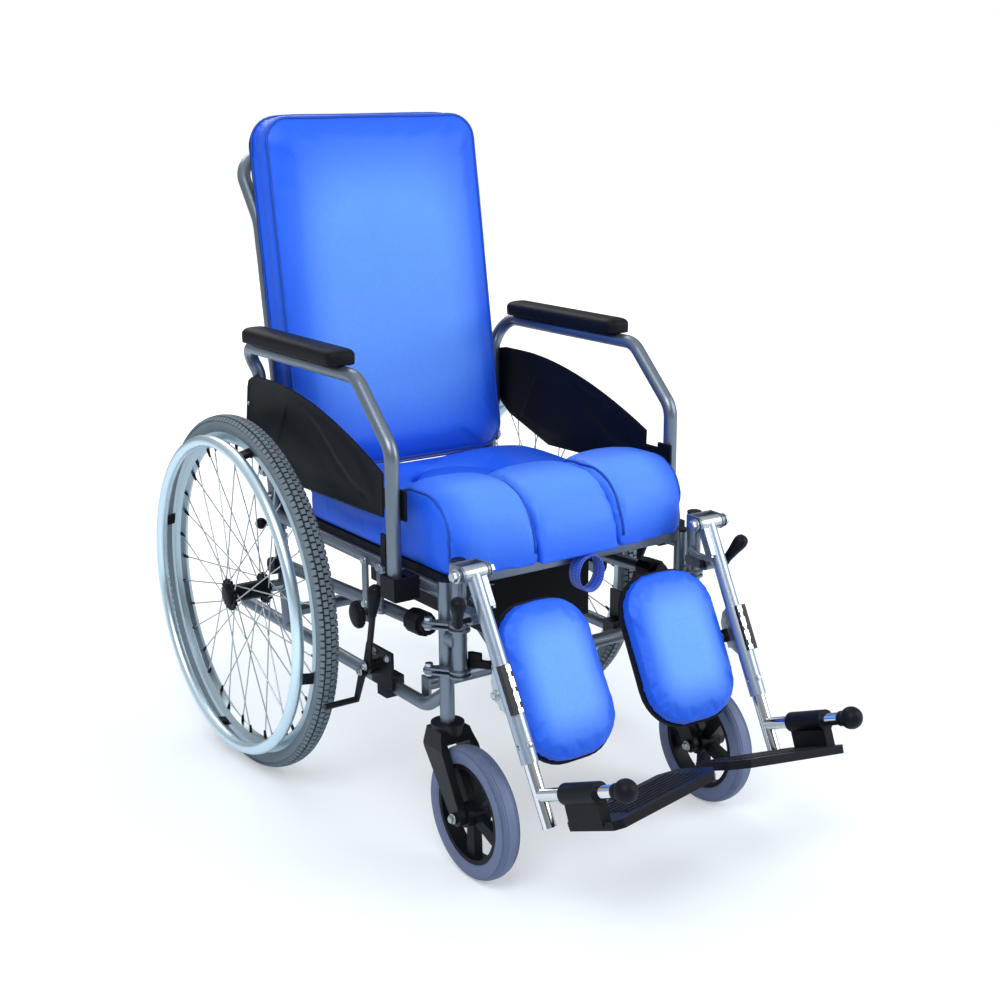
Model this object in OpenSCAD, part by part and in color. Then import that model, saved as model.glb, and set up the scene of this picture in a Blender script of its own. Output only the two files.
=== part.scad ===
// Self-propelled commode chair with reclining back and elevating legrests.
// Millimetres, +Z up, the chair faces -Y, and +X is the seated person's left.
// Side pieces are written once for the left side and mirrored for the right.
// Places along the chair are given as a distance ahead of the rear axle.

/* [Rear wheels] */
// Diameter of the rear wheels over the tread
rear_wheel_d = 600; // [560:10:620]
// Distance between the two rear tyre centres
rear_track = 598; // [590:2:620]
// Width of the rear tyre
tyre_w = 34; // [30:1:38]
// Depth of the tyre outside the rim edge
tyre_depth = 25; // [22:1:28]
// Width of the rim
rim_w = 26; // [22:1:28]
// Depth of the rim
rim_depth = 19; // [16:1:22]
// Number of spokes in a rear wheel, a multiple of four
spoke_count = 36; // [20:4:40]
// Diameter of a spoke
spoke_d = 2.2; // [2:0.1:2.6]
// Length of the hub
hub_len = 68; // [60:2:72]
// Diameter of the hub barrel
hub_d = 30; // [26:1:34]
// Diameter of the hub flanges
flange_d = 47; // [42:1:54]
// Diameter of the rear axle
axle_d = 12; // [10:1:12]
// How far the handrim lies inside the tread
handrim_inset = 29.5; // [25:0.5:40]
// Diameter of the handrim tube
handrim_tube_d = 19; // [17:1:22]
// Distance from the tyre centre out to the handrim centre
handrim_offset = 38; // [34:1:44]
// Number of tabs that carry the handrim
handrim_tabs = 4; // [3:1:8]

/* [Casters] */
// Diameter of the casters
caster_d = 200; // [180:5:204]
// Width of the casters
caster_w = 32; // [26:1:34]
// Distance from the swivel axis to the caster axle
caster_trail = 68; // [56:1:72]
// Diameter of the caster axle
caster_axle_d = 10; // [8:1:12]
// Diameter of the swivel stem
stem_d = 14; // [12:1:15]
// Length of the swivel stem inside the upright
stem_len = 76; // [60:1:90]
// Diameter of the fork collar
fork_collar_d = 50; // [44:1:56]
// Thickness of a fork leg
fork_leg_t = 13; // [10:0.5:15]
// Number of spokes in a caster
caster_spokes = 5; // [4:1:6]

/* [Frame] */
// Distance across from the middle of a frame tube to the middle of the rear tyre
rail_to_wheel = 76; // [64:1:79]
// Diameter of the frame tubes
tube_d = 22; // [20:1:24]
// Front upright, ahead of the rear axle
upright_ahead = 508; // [490:2:540]
// Height of the seat rails
top_rail_z = 417; // [410:1:422]
// Height of the lower rails
lower_rail_z = 226; // [218:1:236]
// Lean of the rear posts and of the back
back_tilt = 8.5; // [6:0.5:12]
// Height of the rear posts
post_top = 512; // [508:1:518]
// How far the lower rails reach behind the axle
rail_tail = 155; // [120:5:170]
// Height of the middle rails at the rear post
mid_rail_rear_z = 333; // [328:1:338]
// Height of the middle rails at their front end
mid_rail_front_z = 352; // [346:1:358]
// Front end of the middle rails, ahead of the axle
mid_rail_ahead = 418; // [400:2:430]
// Thickness of the flat bars and plates
plate_t = 4; // [3:0.5:5]

/* [Seat] */
// How far the seat cushion reaches past the middle of the frame tubes
seat_overhang = 2; // [-3:1:7]
// Rear edge of the seat cushion, ahead of the axle
seat_rear_ahead = 62; // [56:1:80]
// Front of the seat cushion at its middle, ahead of the axle
seat_front_ahead = 541; // [530:1:543]
// How far the front corners of the cushion lie behind its middle
seat_corner_back = 17; // [15:1:24]
// Height of the flat part of the seat
seat_top = 508; // [500:1:520]
// Height of the raised front roll
roll_top = 562; // [545:1:570]
// Width of the removable insert
insert_w = 150; // [130:2:160]
// Centre of the round end of the insert, ahead of the axle
insert_ahead = 206; // [190:2:230]
// Thickness of the seat board
board_t = 12; // [9:1:15]
// Width of the ledge of the seat board under the insert
ledge_w = 13; // [10:1:20]
// Width of the pull loop webbing
strap_w = 25; // [20:1:30]
// Thickness of the pull loop webbing
strap_t = 2.4; // [2:0.2:3]

/* [Bucket] */
// Half the distance between the webs of the bucket rails
rail_half = 106; // [100:1:112]
// Height of the top of the bucket rails
rail_top = 404; // [400:1:405]
// Height of the bucket's floor
pan_floor_z = 302; // [295:1:315]
// Front of the bucket, ahead of the axle
pan_front_ahead = 437; // [420:1:445]
// Length of the bucket
pan_len = 370; // [320:5:380]
// Wall of the bucket
pan_wall = 3; // [2.5:0.5:4]

/* [Back] */
// How far the back cushion's sides lie inside the middle of the frame tubes
back_inset = 9; // [6:1:23]
// Height of the back cushion
back_h = 607; // [560:1:640]
// Thickness of the back cushion
back_t = 60; // [50:1:62]
// Height of the lower edge of the back cushion above the hinge, along the back
back_low = 25; // [22:1:40]
// Height of the back hinge
back_hinge_z = 450; // [446:1:456]
// Corner radius of the back cushion
back_corner_r = 54; // [40:1:80]
// How far the back tubes lie inside the sides of the back cushion
back_tube_inset = 18; // [17:1:24]
// Length of the back tubes up to the kink
back_kink = 460; // [420:5:500]
// Length of the kinked part
hoop_len = 128; // [100:2:150]
// Angle of the kink
kink_angle = 28; // [20:1:35]

/* [Armrests] */
// Distance from the middle of the frame tube out to the armrest tube
arm_out = 39; // [35:1:43]
// Height of the armrest tube
arm_z = 711; // [690:1:720]
// Front post of the armrest, ahead of the axle
arm_post_ahead = 432; // [424:1:440]
// Height of the knee of the armrest tube
arm_knee_z = 618; // [600:1:640]
// Front bend of the armrest tube, ahead of the axle
arm_bend_ahead = 336; // [320:1:350]
// Rear bend of the armrest tube, behind the axle
arm_rear = 36; // [30:1:40]
// Length of the armrest pad
arm_pad_len = 310; // [290:5:330]
// Width of the armrest pad
arm_pad_w = 50; // [46:1:56]
// Thickness of the armrest pad
arm_pad_t = 25; // [22:1:30]
// Height of the armrest hinge
arm_hinge_z = 496; // [490:1:500]
// Thickness of the side panel
panel_t = 3.2; // [2.5:0.1:3.6]

/* [Legrests] */
// Distance from the middle of the frame tube out to the swing pins
swing_pin_out = 27; // [26:0.5:31]
// Swing pins, ahead of the axle
swing_pin_ahead = 503; // [502:1:506]
// Diameter of the swing pins
swing_pin_d = 8; // [6:1:8]
// How far the legrests are turned inwards at rest
legrest_toe = 2.5; // [0:0.5:3]
// Height of the upper swing plates
upper_plate_z = 376; // [370:1:382]
// Height of the lower swing plates
lower_plate_z = 306; // [300:1:312]
// Distance from the upright to the hanger tube
hanger_gap = 34; // [32:1:38]
// Top of the hanger tube
hanger_top = 473; // [470:1:478]
// Height of the leg pivot
pivot_z = 464; // [460:1:468]
// Distance from the hanger tube to the leg pivot
pivot_reach = 34; // [33:1:38]
// Diameter of the leg pivot bolt
pivot_d = 10; // [8:1:11]
// Lean of the leg at rest
leg_tilt = 28; // [24:1:32]
// Length from the leg pivot to the foot cross tube
leg_len = 320; // [310:5:350]
// Length from the leg pivot to the end of the sleeve
sleeve_end = 275; // [265:1:282]
// Outer diameter of the sleeve
sleeve_d = 25; // [24:1:27]
// Diameter of the foot tube
foot_d = 20; // [18:0.5:20]
// Rise of the foot cross tube towards the front
foot_rise = 22; // [18:1:26]
// Length of the foot cross tube up to its knob
foot_reach = 189; // [180:1:200]
// Diameter of the knob
knob_d = 32; // [28:1:36]
// Inner edge of the footplate, from the middle of the chair
plate_inner = 28; // [24:1:40]
// Depth of the footplate
plate_depth = 118; // [100:1:130]
// Thickness of the footplate
footplate_t = 12; // [10:1:15]
// Upward slope of the footplate towards the middle
plate_rise = 6; // [2:1:8]
// Distance from the middle of the chair to the inner edge of a calf pad
calf_inner = 38; // [30:1:54]
// Length of a calf pad
calf_len = 234; // [210:2:240]
// Thickness of a calf pad
calf_t = 26; // [20:1:28]
// Distance of the calf pad's middle below the pivot, along the leg
calf_mid = 173; // [170:1:178]

/* [Brakes] */
// Distance of the brake plate in front of the rear tyre
brake_clear = 46; // [42:1:50]
// Height of the brake lever's pivot
brake_z = 262; // [258:1:266]
// Length of the brake lever
brake_lever_len = 128; // [110:1:132]
// Diameter of the brake pivots
brake_pin_d = 8; // [6:1:8]
// Distance of the brake shoe from the tyre, at rest
brake_gap = 14; // [12:1:18]

/* [Clearances] */
// Radial play of a shaft in its bore
run = 0.05; // [0.02:0.01:0.09]
// Gap between neighbouring pieces that don't touch
gap = 0.3; // [0.2:0.05:0.5]
// Overrun of a cut past its face
over = 1; // [0.5:0.1:2]

/* [Hidden] */
$fn = 48;

// Bolts and screws
bolt_head_t = 5;
head_flange = 3.5;
shaft_room = 2 * run;

// Places across the chair, from its middle
frame_w = rear_track - 2 * rail_to_wheel;
rail_x = frame_w / 2;
rail_face = rail_x + tube_d / 2;
rail_inner = rail_x - tube_d / 2;
seat_w = frame_w + 2 * seat_overhang;
back_w = frame_w - 2 * back_inset;
back_tube_w = back_w - 2 * back_tube_inset;
arm_x = rail_x + arm_out;
swing_pin_x = rail_x + swing_pin_out;

// Places along the chair, as distances ahead of the rear axle
brake_ahead = rear_wheel_d / 2 + brake_clear;
hanger_ahead = upright_ahead + hanger_gap;
pivot_ahead = hanger_ahead + pivot_reach;
knob_ahead = pivot_ahead + leg_len * sin(leg_tilt) + foot_reach * cos(foot_rise);
front_reach = swing_pin_ahead + (knob_ahead - swing_pin_ahead) * cos(legrest_toe)
    - swing_pin_out * sin(legrest_toe) + knob_d / 2;
axle_y = (front_reach - rear_wheel_d / 2) / 2;
axle_z = rear_wheel_d / 2;
// The rails are a little thinner than the uprights that they are welded to
rail_step = 1;
rail_d = tube_d - rail_step;
bend_swell = 0.1;

// Rear wheels
handrim_d = rear_wheel_d - 2 * handrim_inset;
tyre_shoulder = 5;
tread_groove = 1.5;
groove_w = 3;
tyre_bead = 2;
rim_out_r = rear_wheel_d / 2 - tyre_depth - tyre_bead;
rim_in_r = rim_out_r - rim_depth;
rim_flare = 8;
rim_base_w = 10;
hub_inset = 3;
flange_t = 4;
spoke_pcd_r = 19;
spoke_cross = 66;
spoke_weave = 0.8 * spoke_d;
spoke_rim_shift = 3;
spoke_gap = 0.15;
tab_w = 16;
tab_turn = 16;
tab_t = 8;
axle_head_d = 20;
axle_head_t = 6;
spacer_d = 20;
hub_face = rear_track / 2 - hub_inset + hub_len / 2;
hub_inner = hub_face - hub_len;

// Casters
caster_r = caster_d / 2;
caster_x = rail_x;
caster_ahead = upright_ahead + caster_trail;
caster_tyre_depth = 25;
caster_rim_t = 7;
caster_rim_w = 26;
caster_hub_d = 36;
caster_spoke_w = 22;
caster_spoke_t = 14;
caster_side_gap = 3.5;
fork_inner = caster_w / 2 + caster_side_gap;
fork_outer = fork_inner + fork_leg_t;
fork_foot_r = 13;
fork_head_r = 22;
fork_head_drop = 5;
fork_head_z = caster_d - fork_head_drop;
fork_head_shift = 4;
fork_rise = 19.2;
fork_top = caster_d + fork_rise;
crown_t = 24;
crown_len = 36;
upright_foot = fork_top + gap;
axle_nut_d = 17;

// Frame
post_behind = 3;
rail_bend_r = 50;
rail_corner_ahead = 452;
rail_joint_z = 264;
cap_t = 2.5;
post_cap_t = 5;
cap_swell = 1;
lug_t = 4;
lug_tip_r = 9;
hang_strap_w = 14;
hang_strap_t = 4.5;
hang_strap_bite = 1;
hang_strap_aheads = [298, 343];
cross_front_ahead = 430;
cross_front_z = 250;
cross_rear_z = 250;
seat_bar = 16;
seat_bar_back = 12;
mid_cap_d = 38;
mid_cap_len = 45;
knob_plate_ahead = 276;
knob_axis_z = 323;
knob_plate_w = 26;
knob_stud_d = 8;
knob_stud_len = 12;
hand_knob_d = 43;
hand_knob_t = 12;
rear_knob_d = 30;
barrel_d = 14;
barrel_inset = 14.2;
barrel_x = rail_x - barrel_inset;
barrel_behind = 28.5;
barrel_foot = 345;
barrel_top = 380;
plunger_d = 5;
plunger_travel = 8;
plunger_collar_d = 12;
plunger_collar_t = 14;
plunger_ball_d = 20;
plunger_arm_d = 7;
plunger_ball_out = 17;
plunger_ball_behind = 50;
plunger_ball_z = 398;
plunger_ball = [rail_x + plunger_ball_out, plunger_ball_behind, plunger_ball_z];

// Seat
board_z = top_rail_z + rail_d / 2;
// The cushion's corners pass over the capped uprights
upright_top = board_z + board_t;
cushion_z = board_z + board_t + gap;
board_rear_ahead = 50;
board_inset = 3;
board_half = seat_w / 2 - board_inset;
roll_start_ahead = 300;
roll_crest_ahead = 405;
roll_front_ahead = 448;
front_foot = 16;
seat_edge_r = 15;
seat_corner_r = 30;
crown_h = 5;
welt = 1.2;
strap_r = 29;
strap_x = 18;
strap_tab = 24;

// Bucket rails and bucket
rail_web_t = 2.5;
rail_lip = 10;
rail_flange = 16;
rail_end_ahead = 447;
rail_rear_ahead = 64;
pan_flange_t = 4;
rail_slot = 12.3;
pan_lip_z = rail_top - rail_slot;

// Back
back_hinge_d = 10;
hinge_disc_r = 36;
hinge_disc_t = 5.3;
back_tail = 25;
back_bend_r = 50;
back_board_t = 12;
back_rung_d = 18;
back_rungs = [130, 430];
back_board_inset = 8;
back_x = back_tube_w / 2;

// Armrests
arm_d = 22;
arm_bend_r = 40;
arm_foot_z = 404;
arm_drop_inset = 25;
arm_drop_x = arm_x - arm_drop_inset;
arm_elbow_z = 661;
arm_leg_foot_z = 530;
arm_ear_t = 4.6;
arm_ear_r = 12;
arm_hinge_d = 10;
arm_hinge_behind = 33;
arm_pad_rear = 6;
socket_wall = 4.5;
socket_floor = 6;
socket_top = 432;
socket_slide = 8;
arm_latch_ahead = 374;
arm_latch_inset = 17;
arm_latch_x = arm_x - arm_latch_inset;
arm_latch_w = 14;
arm_latch_t = 4;
arm_latch_z = 434;
arm_latch_top = 478;
arm_latch_pin_d = 6;
panel_inset = 13.6;
panel_x = arm_x - panel_inset;
panel_ridge = 1.6;
clip_z = 535;

// Legrests
swing_plate_t = 3;
swing_bar_w = 14;
hanger_ring_r = 16;
clevis_t = 4;
clevis_gap = 39.6;
clevis_h = 24;
pivot_barrel_d = 22;
hanger_disc_d = 28;
hanger_disc_z = 353;
// The legrest comes this much nearer to the upright as it turns inwards
toe_shift = swing_pin_out * sin(legrest_toe);
sector_r = 56;
sector_w = 7;
sector_t = 4;
sector_x = -15;
sector_front = 6;
sector_rear = 58;
sleeve_start = 135;
sleeve_hole_d = 7;
bore_start = 130;
calf_pin_l = 174;
calf_pin_p = -33.5;
calf_pin_d = 8;
calf_front_p = -3;
calf_edge_x = -19;
calf_w = rail_x + calf_edge_x - calf_inner;
calf_board_t = 6;
calf_rim = 2;
calf_arm_w = 20;
calf_arm_t = 5;
ratchet_w = 8;
ratchet_t = 3;
ratchet_step = 7;
ratchet_count = 9;
lever_back = 6;
lever_drop = 66;
lever_d = 8;
lever_grip_d = 17;
latch_x = -20;
latch_len = 30;
latch_h = 22;
latch_pin_d = 6;
foot_inside = 165;
foot_below = 43;
foot_cap_t = 3;
cross_step = 1;
foot_cross_d = foot_d - cross_step;
block_d = 30;
block_start = 60;
block_len = 75;
footplate_start = 45;
footplate_drop = 38;
footplate_out = 6;
footplate_chamfer = 22;
rib_h = 1.2;
rib_w = 4;
rib_count = 7;

// Brakes
clamp_len = 28;
clamp_wall = 5;
brake_plate_t = 5;
brake_plate_len = 60;
brake_plate_h = 50;
brake_stand_off = 23;
lever_layer = rail_face + brake_stand_off;
outer_plate_t = 4;
standoff_d = 15;
lever_plate_t = 4;
shoe_shift = 15;
shoe_drop = 14;
shoe_bar_d = 10;
shoe_bar_end = rear_track / 2 + tyre_w / 2;
shoe_sink = 19.3;
grip_d = 20;
grip_len = 40;
grip_foot_d = 11;
grip_shift = 5;
grip_x = lever_layer + grip_shift;

// Colours
silver = "silver";
chrome = "gainsboro";
black = [0.08, 0.08, 0.09];
vinyl = [0.10, 0.26, 0.62];
rubber = [0.45, 0.48, 0.52];
dark = [0.2, 0.2, 0.22];

// Place along Y of a distance ahead of the rear axle
function fore(ahead) = axle_y - ahead;
// Place along Y of the rear post's middle at a height
function post_y(z) = fore(-post_behind) + (z - axle_z) * tan(back_tilt);
function unit(v) = v / norm(v);
function clamp1(v) = max(-1, min(1, v));
function turn(u, v) = acos(clamp1(u * v));
function bite(u, v, r) = r * tan(turn(u, v) / 2);
// Soft step from 0 to 1
function ease(t) = let (c = max(0, min(1, t))) c * c * (3 - 2 * c);
function radial(r, a) = [r * cos(a), r * sin(a)];

// Round bar between two points
module rod(a, b, d) {
    v = b - a;
    translate(a)
        rotate([0, acos(clamp1(v.z / norm(v))), atan2(v.y, v.x)])
            cylinder(h = norm(v), d = d);
}

// Bend of a tube at corner p, from direction u to direction v
module tube_bend(p, u, v, r, d) {
    start = p - u * bite(u, v, r);
    n = unit(cross(u, v));
    s = cross(n, u);
    c = start + s * r;
    multmatrix([[-s.x, u.x, n.x, c.x], [-s.y, u.y, n.y, c.y], [-s.z, u.z, n.z, c.z], [0, 0, 0, 1]])
        rotate_extrude(angle = turn(u, v)) translate([r, 0]) circle(d = d);
}

// Bent tube through corner points
module pipe(pts, r, d) {
    last = len(pts) - 1;
    dirs = [for (i = [0 : last - 1]) unit(pts[i + 1] - pts[i])];
    for (i = [0 : last - 1]) {
        a = i == 0 ? pts[0] : pts[i] + dirs[i] * (bite(dirs[i - 1], dirs[i], r) - over);
        b = i == last - 1 ? pts[last] : pts[i + 1] - dirs[i] * (bite(dirs[i], dirs[i + 1], r) - over);
        rod(a, b, d);
    }
    for (i = [1 : last - 1]) tube_bend(pts[i], dirs[i - 1], dirs[i], r, d + bend_swell);
}

// Two round ends joined by their tangents
module link2d(a, ra, b, rb) {
    u = unit(b - a);
    n = [-u.y, u.x];
    s = (ra - rb) / norm(b - a);
    c = sqrt(1 - s * s);
    translate(a) circle(r = ra);
    translate(b) circle(r = rb);
    polygon([a + (u * s + n * c) * ra, b + (u * s + n * c) * rb, b + (u * s - n * c) * rb,
        a + (u * s - n * c) * ra]);
}

module box(a, b) translate(a) cube(b - a);

// Outline in the YZ plane, thick along X
module slab(x0, x1) translate([x0, 0, 0]) rotate([90, 0, 90]) linear_extrude(x1 - x0) children();

// Pin along X
module xpin(x0, x1, y, z, d) translate([x0, y, z]) rotate([0, 90, 0]) cylinder(h = x1 - x0, d = d);

// Headed bolt along X, its head outboard of x1
module xbolt(x0, x1, y, z, d) {
    xpin(x0, x1, y, z, d);
    xpin(x1, x1 + bolt_head_t, y, z, d + 2 * head_flange);
}

module side(s) mirror([s < 0 ? 1 : 0, 0, 0]) children();

// Closed skin over rings of points, with a fan at each end
module skin(rings) {
    n = len(rings[0]);
    m = len(rings);
    mid = function (r) [for (k = [0 : 2]) [for (p = r) p[k]] * [for (p = r) 1] / n];
    pts = [for (r = rings) for (p = r) p];
    polyhedron(
        concat(pts, [mid(rings[0]), mid(rings[m - 1])]),
        concat(
            [for (i = [0 : m - 2], j = [0 : n - 1])
                let (k = (j + 1) % n) [i * n + j, i * n + k, (i + 1) * n + k]],
            [for (i = [0 : m - 2], j = [0 : n - 1])
                let (k = (j + 1) % n) [i * n + j, (i + 1) * n + k, (i + 1) * n + j]],
            [for (j = [0 : n - 1]) [m * n, (j + 1) % n, j]],
            [for (j = [0 : n - 1]) [m * n + 1, (m - 1) * n + j, (m - 1) * n + (j + 1) % n]]
        )
    );
}

// Outline of a rounded rectangle about the middle
function round_rect(w, h, r, steps) = [
    for (q = [0 : 3], i = [0 : steps])
        let (a = 90 * (q + i / steps), sx = q == 0 || q == 3 ? 1 : -1, sy = q < 2 ? 1 : -1)
            [sx * (w / 2 - r), sy * (h / 2 - r)] + radial(r, a)
];

// Rings of a stuffed pad: back edge, waist, front edge, crown
pad_depth_shares = [0, 0, 0.06, 0.2, 0.5, 0.74, 0.88, 0.95, 1, 1, 1];
pad_inset_shares = [0.5, 0.1, 0, 0.02, 0.03, 0, 0.05, 0.14, 0.34, 0.62, 0.9];
pad_crown_shares = [0, 0, 0, 0, 0, 0, 0, 0, 0.35, 0.75, 0.97];
// The pad lies along X and Y, from its flat back at zero up to t at its crown
module stuffed_pad(w, h, r, t, crown, steps) {
    skin([
        for (i = [0 : len(pad_depth_shares) - 1])
            let (
                inset = pad_inset_shares[i] * (i > 6 ? r : t),
                z = pad_depth_shares[i] * (t - crown) + pad_crown_shares[i] * crown
            )
                [for (p = round_rect(w - 2 * inset, h - 2 * inset, max(r - inset, r / 8), steps)) [p.x,
                    p.y, z]]
    ]);
}

// Rear wheels

module at_rear_wheel() translate([rear_track / 2, axle_y, axle_z]) rotate([0, 90, 0]) children();

module rear_tyre(s) color(rubber) side(s) at_rear_wheel() rotate_extrude() polygon([
    [rim_out_r, -rim_w / 2], [rim_out_r, rim_w / 2],
    [rim_out_r + tyre_shoulder, tyre_w / 2], [rear_wheel_d / 2 - 2 * tyre_shoulder, tyre_w / 2],
    [rear_wheel_d / 2 - tread_groove, tyre_w / 4 + groove_w / 2],
    [rear_wheel_d / 2 - 2 * tread_groove, tyre_w / 4],
    [rear_wheel_d / 2, tyre_w / 4 - groove_w / 2],
    [rear_wheel_d / 2, groove_w - tyre_w / 4],
    [rear_wheel_d / 2 - 2 * tread_groove, -tyre_w / 4],
    [rear_wheel_d / 2 - tread_groove, -tyre_w / 4 - groove_w / 2],
    [rear_wheel_d / 2 - 2 * tyre_shoulder, -tyre_w / 2], [rim_out_r + tyre_shoulder, -tyre_w / 2]
]);

module rear_rim(s) color(silver) side(s) at_rear_wheel() rotate_extrude() polygon([
    [rim_in_r, -rim_base_w / 2], [rim_in_r, rim_base_w / 2], [rim_in_r + rim_flare, rim_w / 2],
    [rim_out_r, rim_w / 2], [rim_out_r, -rim_w / 2], [rim_in_r + rim_flare, -rim_w / 2]
]);

module spokes() {
    for (i = [0 : spoke_count - 1]) {
        flange = i % 2 == 0 ? 1 : -1;
        lean = floor(i / 2) % 2 == 0 ? 1 : -1;
        at_rim = 360 * i / spoke_count;
        hub_end = radial(spoke_pcd_r, at_rim + lean * spoke_cross);
        rim_end = radial(rim_in_r - spoke_gap, at_rim);
        hub_level = flange * (hub_len - flange_t) / 2 - hub_inset + lean * spoke_weave;
        rod([hub_end.x, hub_end.y, hub_level], [rim_end.x, rim_end.y, flange * spoke_rim_shift], spoke_d);
    }
}

module rear_hub(s) color(dark) side(s) at_rear_wheel() difference() {
    union() {
        translate([0, 0, -hub_len / 2 - hub_inset]) cylinder(h = hub_len, d = hub_d);
        for (k = [-1, 1])
            translate([0, 0, k * (hub_len - flange_t) / 2 - hub_inset - flange_t / 2])
                cylinder(h = flange_t, d = flange_d);
        spokes();
    }
    translate([0, 0, -hub_len / 2 - hub_inset - over])
        cylinder(h = hub_len + 2 * over, d = axle_d + shaft_room);
}

module handrim(s) color(chrome) side(s) at_rear_wheel() {
    ring_r = (handrim_d - handrim_tube_d) / 2;
    translate([0, 0, handrim_offset]) rotate_extrude() translate([ring_r, 0]) circle(d = handrim_tube_d);
    for (i = [0 : handrim_tabs - 1])
        rotate([90, 0, tab_turn + 360 * i / handrim_tabs])
            translate([0, 0, -tab_w / 2]) linear_extrude(tab_w)
                polygon([
                    [rim_in_r + rim_flare, rim_w / 2],
                    [rim_in_r + rim_flare + tab_t, rim_w / 2],
                    [ring_r + tab_t / 2, handrim_offset - handrim_tube_d / 4],
                    [ring_r - tab_t / 2, handrim_offset - handrim_tube_d / 4]
                ]);
}

// Casters

module at_caster() translate([caster_x, fore(caster_ahead), caster_r]) rotate([0, 90, 0]) children();

module caster_tyre(s) color(rubber) side(s) at_caster() rotate_extrude() polygon([
    [caster_r - caster_tyre_depth, -caster_rim_w / 2], [caster_r - caster_tyre_depth, caster_rim_w / 2],
    [caster_r - 0.8 * caster_tyre_depth, caster_w / 2], [caster_r - 0.3 * caster_tyre_depth, caster_w / 2],
    [caster_r - 0.08 * caster_tyre_depth, 0.38 * caster_w], [caster_r, 0.22 * caster_w],
    [caster_r, 0.08 * caster_w], [caster_r - tread_groove, 0], [caster_r, -0.08 * caster_w],
    [caster_r, -0.22 * caster_w], [caster_r - 0.08 * caster_tyre_depth, -0.38 * caster_w],
    [caster_r - 0.3 * caster_tyre_depth, -caster_w / 2], [caster_r - 0.8 * caster_tyre_depth, -caster_w / 2]
]);

module caster_centre(s) color(black) side(s) at_caster() {
    seat_r = caster_r - caster_tyre_depth;
    difference() {
        union() {
            translate([0, 0, -caster_rim_w / 2]) difference() {
                cylinder(h = caster_rim_w, r = seat_r);
                translate([0, 0, -over]) cylinder(h = caster_rim_w + 2 * over, r = seat_r - caster_rim_t);
            }
            translate([0, 0, gap - fork_inner]) cylinder(h = 2 * (fork_inner - gap), d = caster_hub_d);
            for (i = [0 : caster_spokes - 1])
                rotate(360 * i / caster_spokes)
                    translate([0, 0, -caster_spoke_t / 2])
                        linear_extrude(caster_spoke_t)
                            polygon([[0, -0.36 * caster_spoke_w],
                                [seat_r - caster_rim_t / 2, -caster_spoke_w / 2],
                                [seat_r - caster_rim_t / 2, caster_spoke_w / 2], [0, 0.36 * caster_spoke_w]]);
        }
        translate([0, 0, -fork_outer]) cylinder(h = 2 * fork_outer, d = caster_axle_d + shaft_room);
    }
}

module caster_fork(s) color(black) side(s) {
    y = fore(upright_ahead);
    // Legs and the shoulders that carry them out from the collar
    translate([caster_x, 0, 0]) intersection() {
        difference() {
            slab(-fork_outer, fork_outer) {
                link2d([y - fork_head_shift, fork_head_z], fork_head_r, [fore(caster_ahead), caster_r],
                    fork_foot_r);
                link2d([y, fork_top], crown_len / 2, [y - fork_head_shift, fork_head_z], fork_head_r);
            }
            slab(-fork_inner, fork_inner)
                translate([y - caster_d, 0]) square([2 * caster_d, fork_top - crown_t]);
        }
        translate([0, y + fork_collar_d, 0]) rotate([90, 0, 0]) linear_extrude(caster_d) polygon([
            [-fork_outer, 0], [-fork_outer, fork_head_z - fork_head_r / 3],
            [-fork_collar_d / 2, fork_top - crown_t / 4], [fork_collar_d / 2, fork_top - crown_t / 4],
            [fork_outer, fork_head_z - fork_head_r / 3], [fork_outer, 0]]);
    }
    translate([caster_x, y, fork_top - crown_t]) cylinder(h = crown_t, d = fork_collar_d);
    translate([caster_x, y, fork_top - crown_t / 2]) cylinder(h = stem_len + crown_t / 2, d = stem_d);
    xpin(caster_x - fork_outer - bolt_head_t, caster_x - fork_outer, fore(caster_ahead), caster_r,
        axle_nut_d);
    xpin(caster_x - fork_outer, caster_x + fork_outer, fore(caster_ahead), caster_r, caster_axle_d);
    xpin(caster_x + fork_outer, caster_x + fork_outer + bolt_head_t, fore(caster_ahead), caster_r,
        axle_nut_d);
}

// Frame

mid_rail_front = [rail_x, fore(mid_rail_ahead), mid_rail_front_z];
mid_rail_rear = [rail_x, post_y(mid_rail_rear_z), mid_rail_rear_z];
function mid_rail_z(ahead) = mid_rail_rear_z + (mid_rail_front_z - mid_rail_rear_z)
    * (mid_rail_rear.y - fore(ahead)) / (mid_rail_rear.y - mid_rail_front.y);

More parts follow.
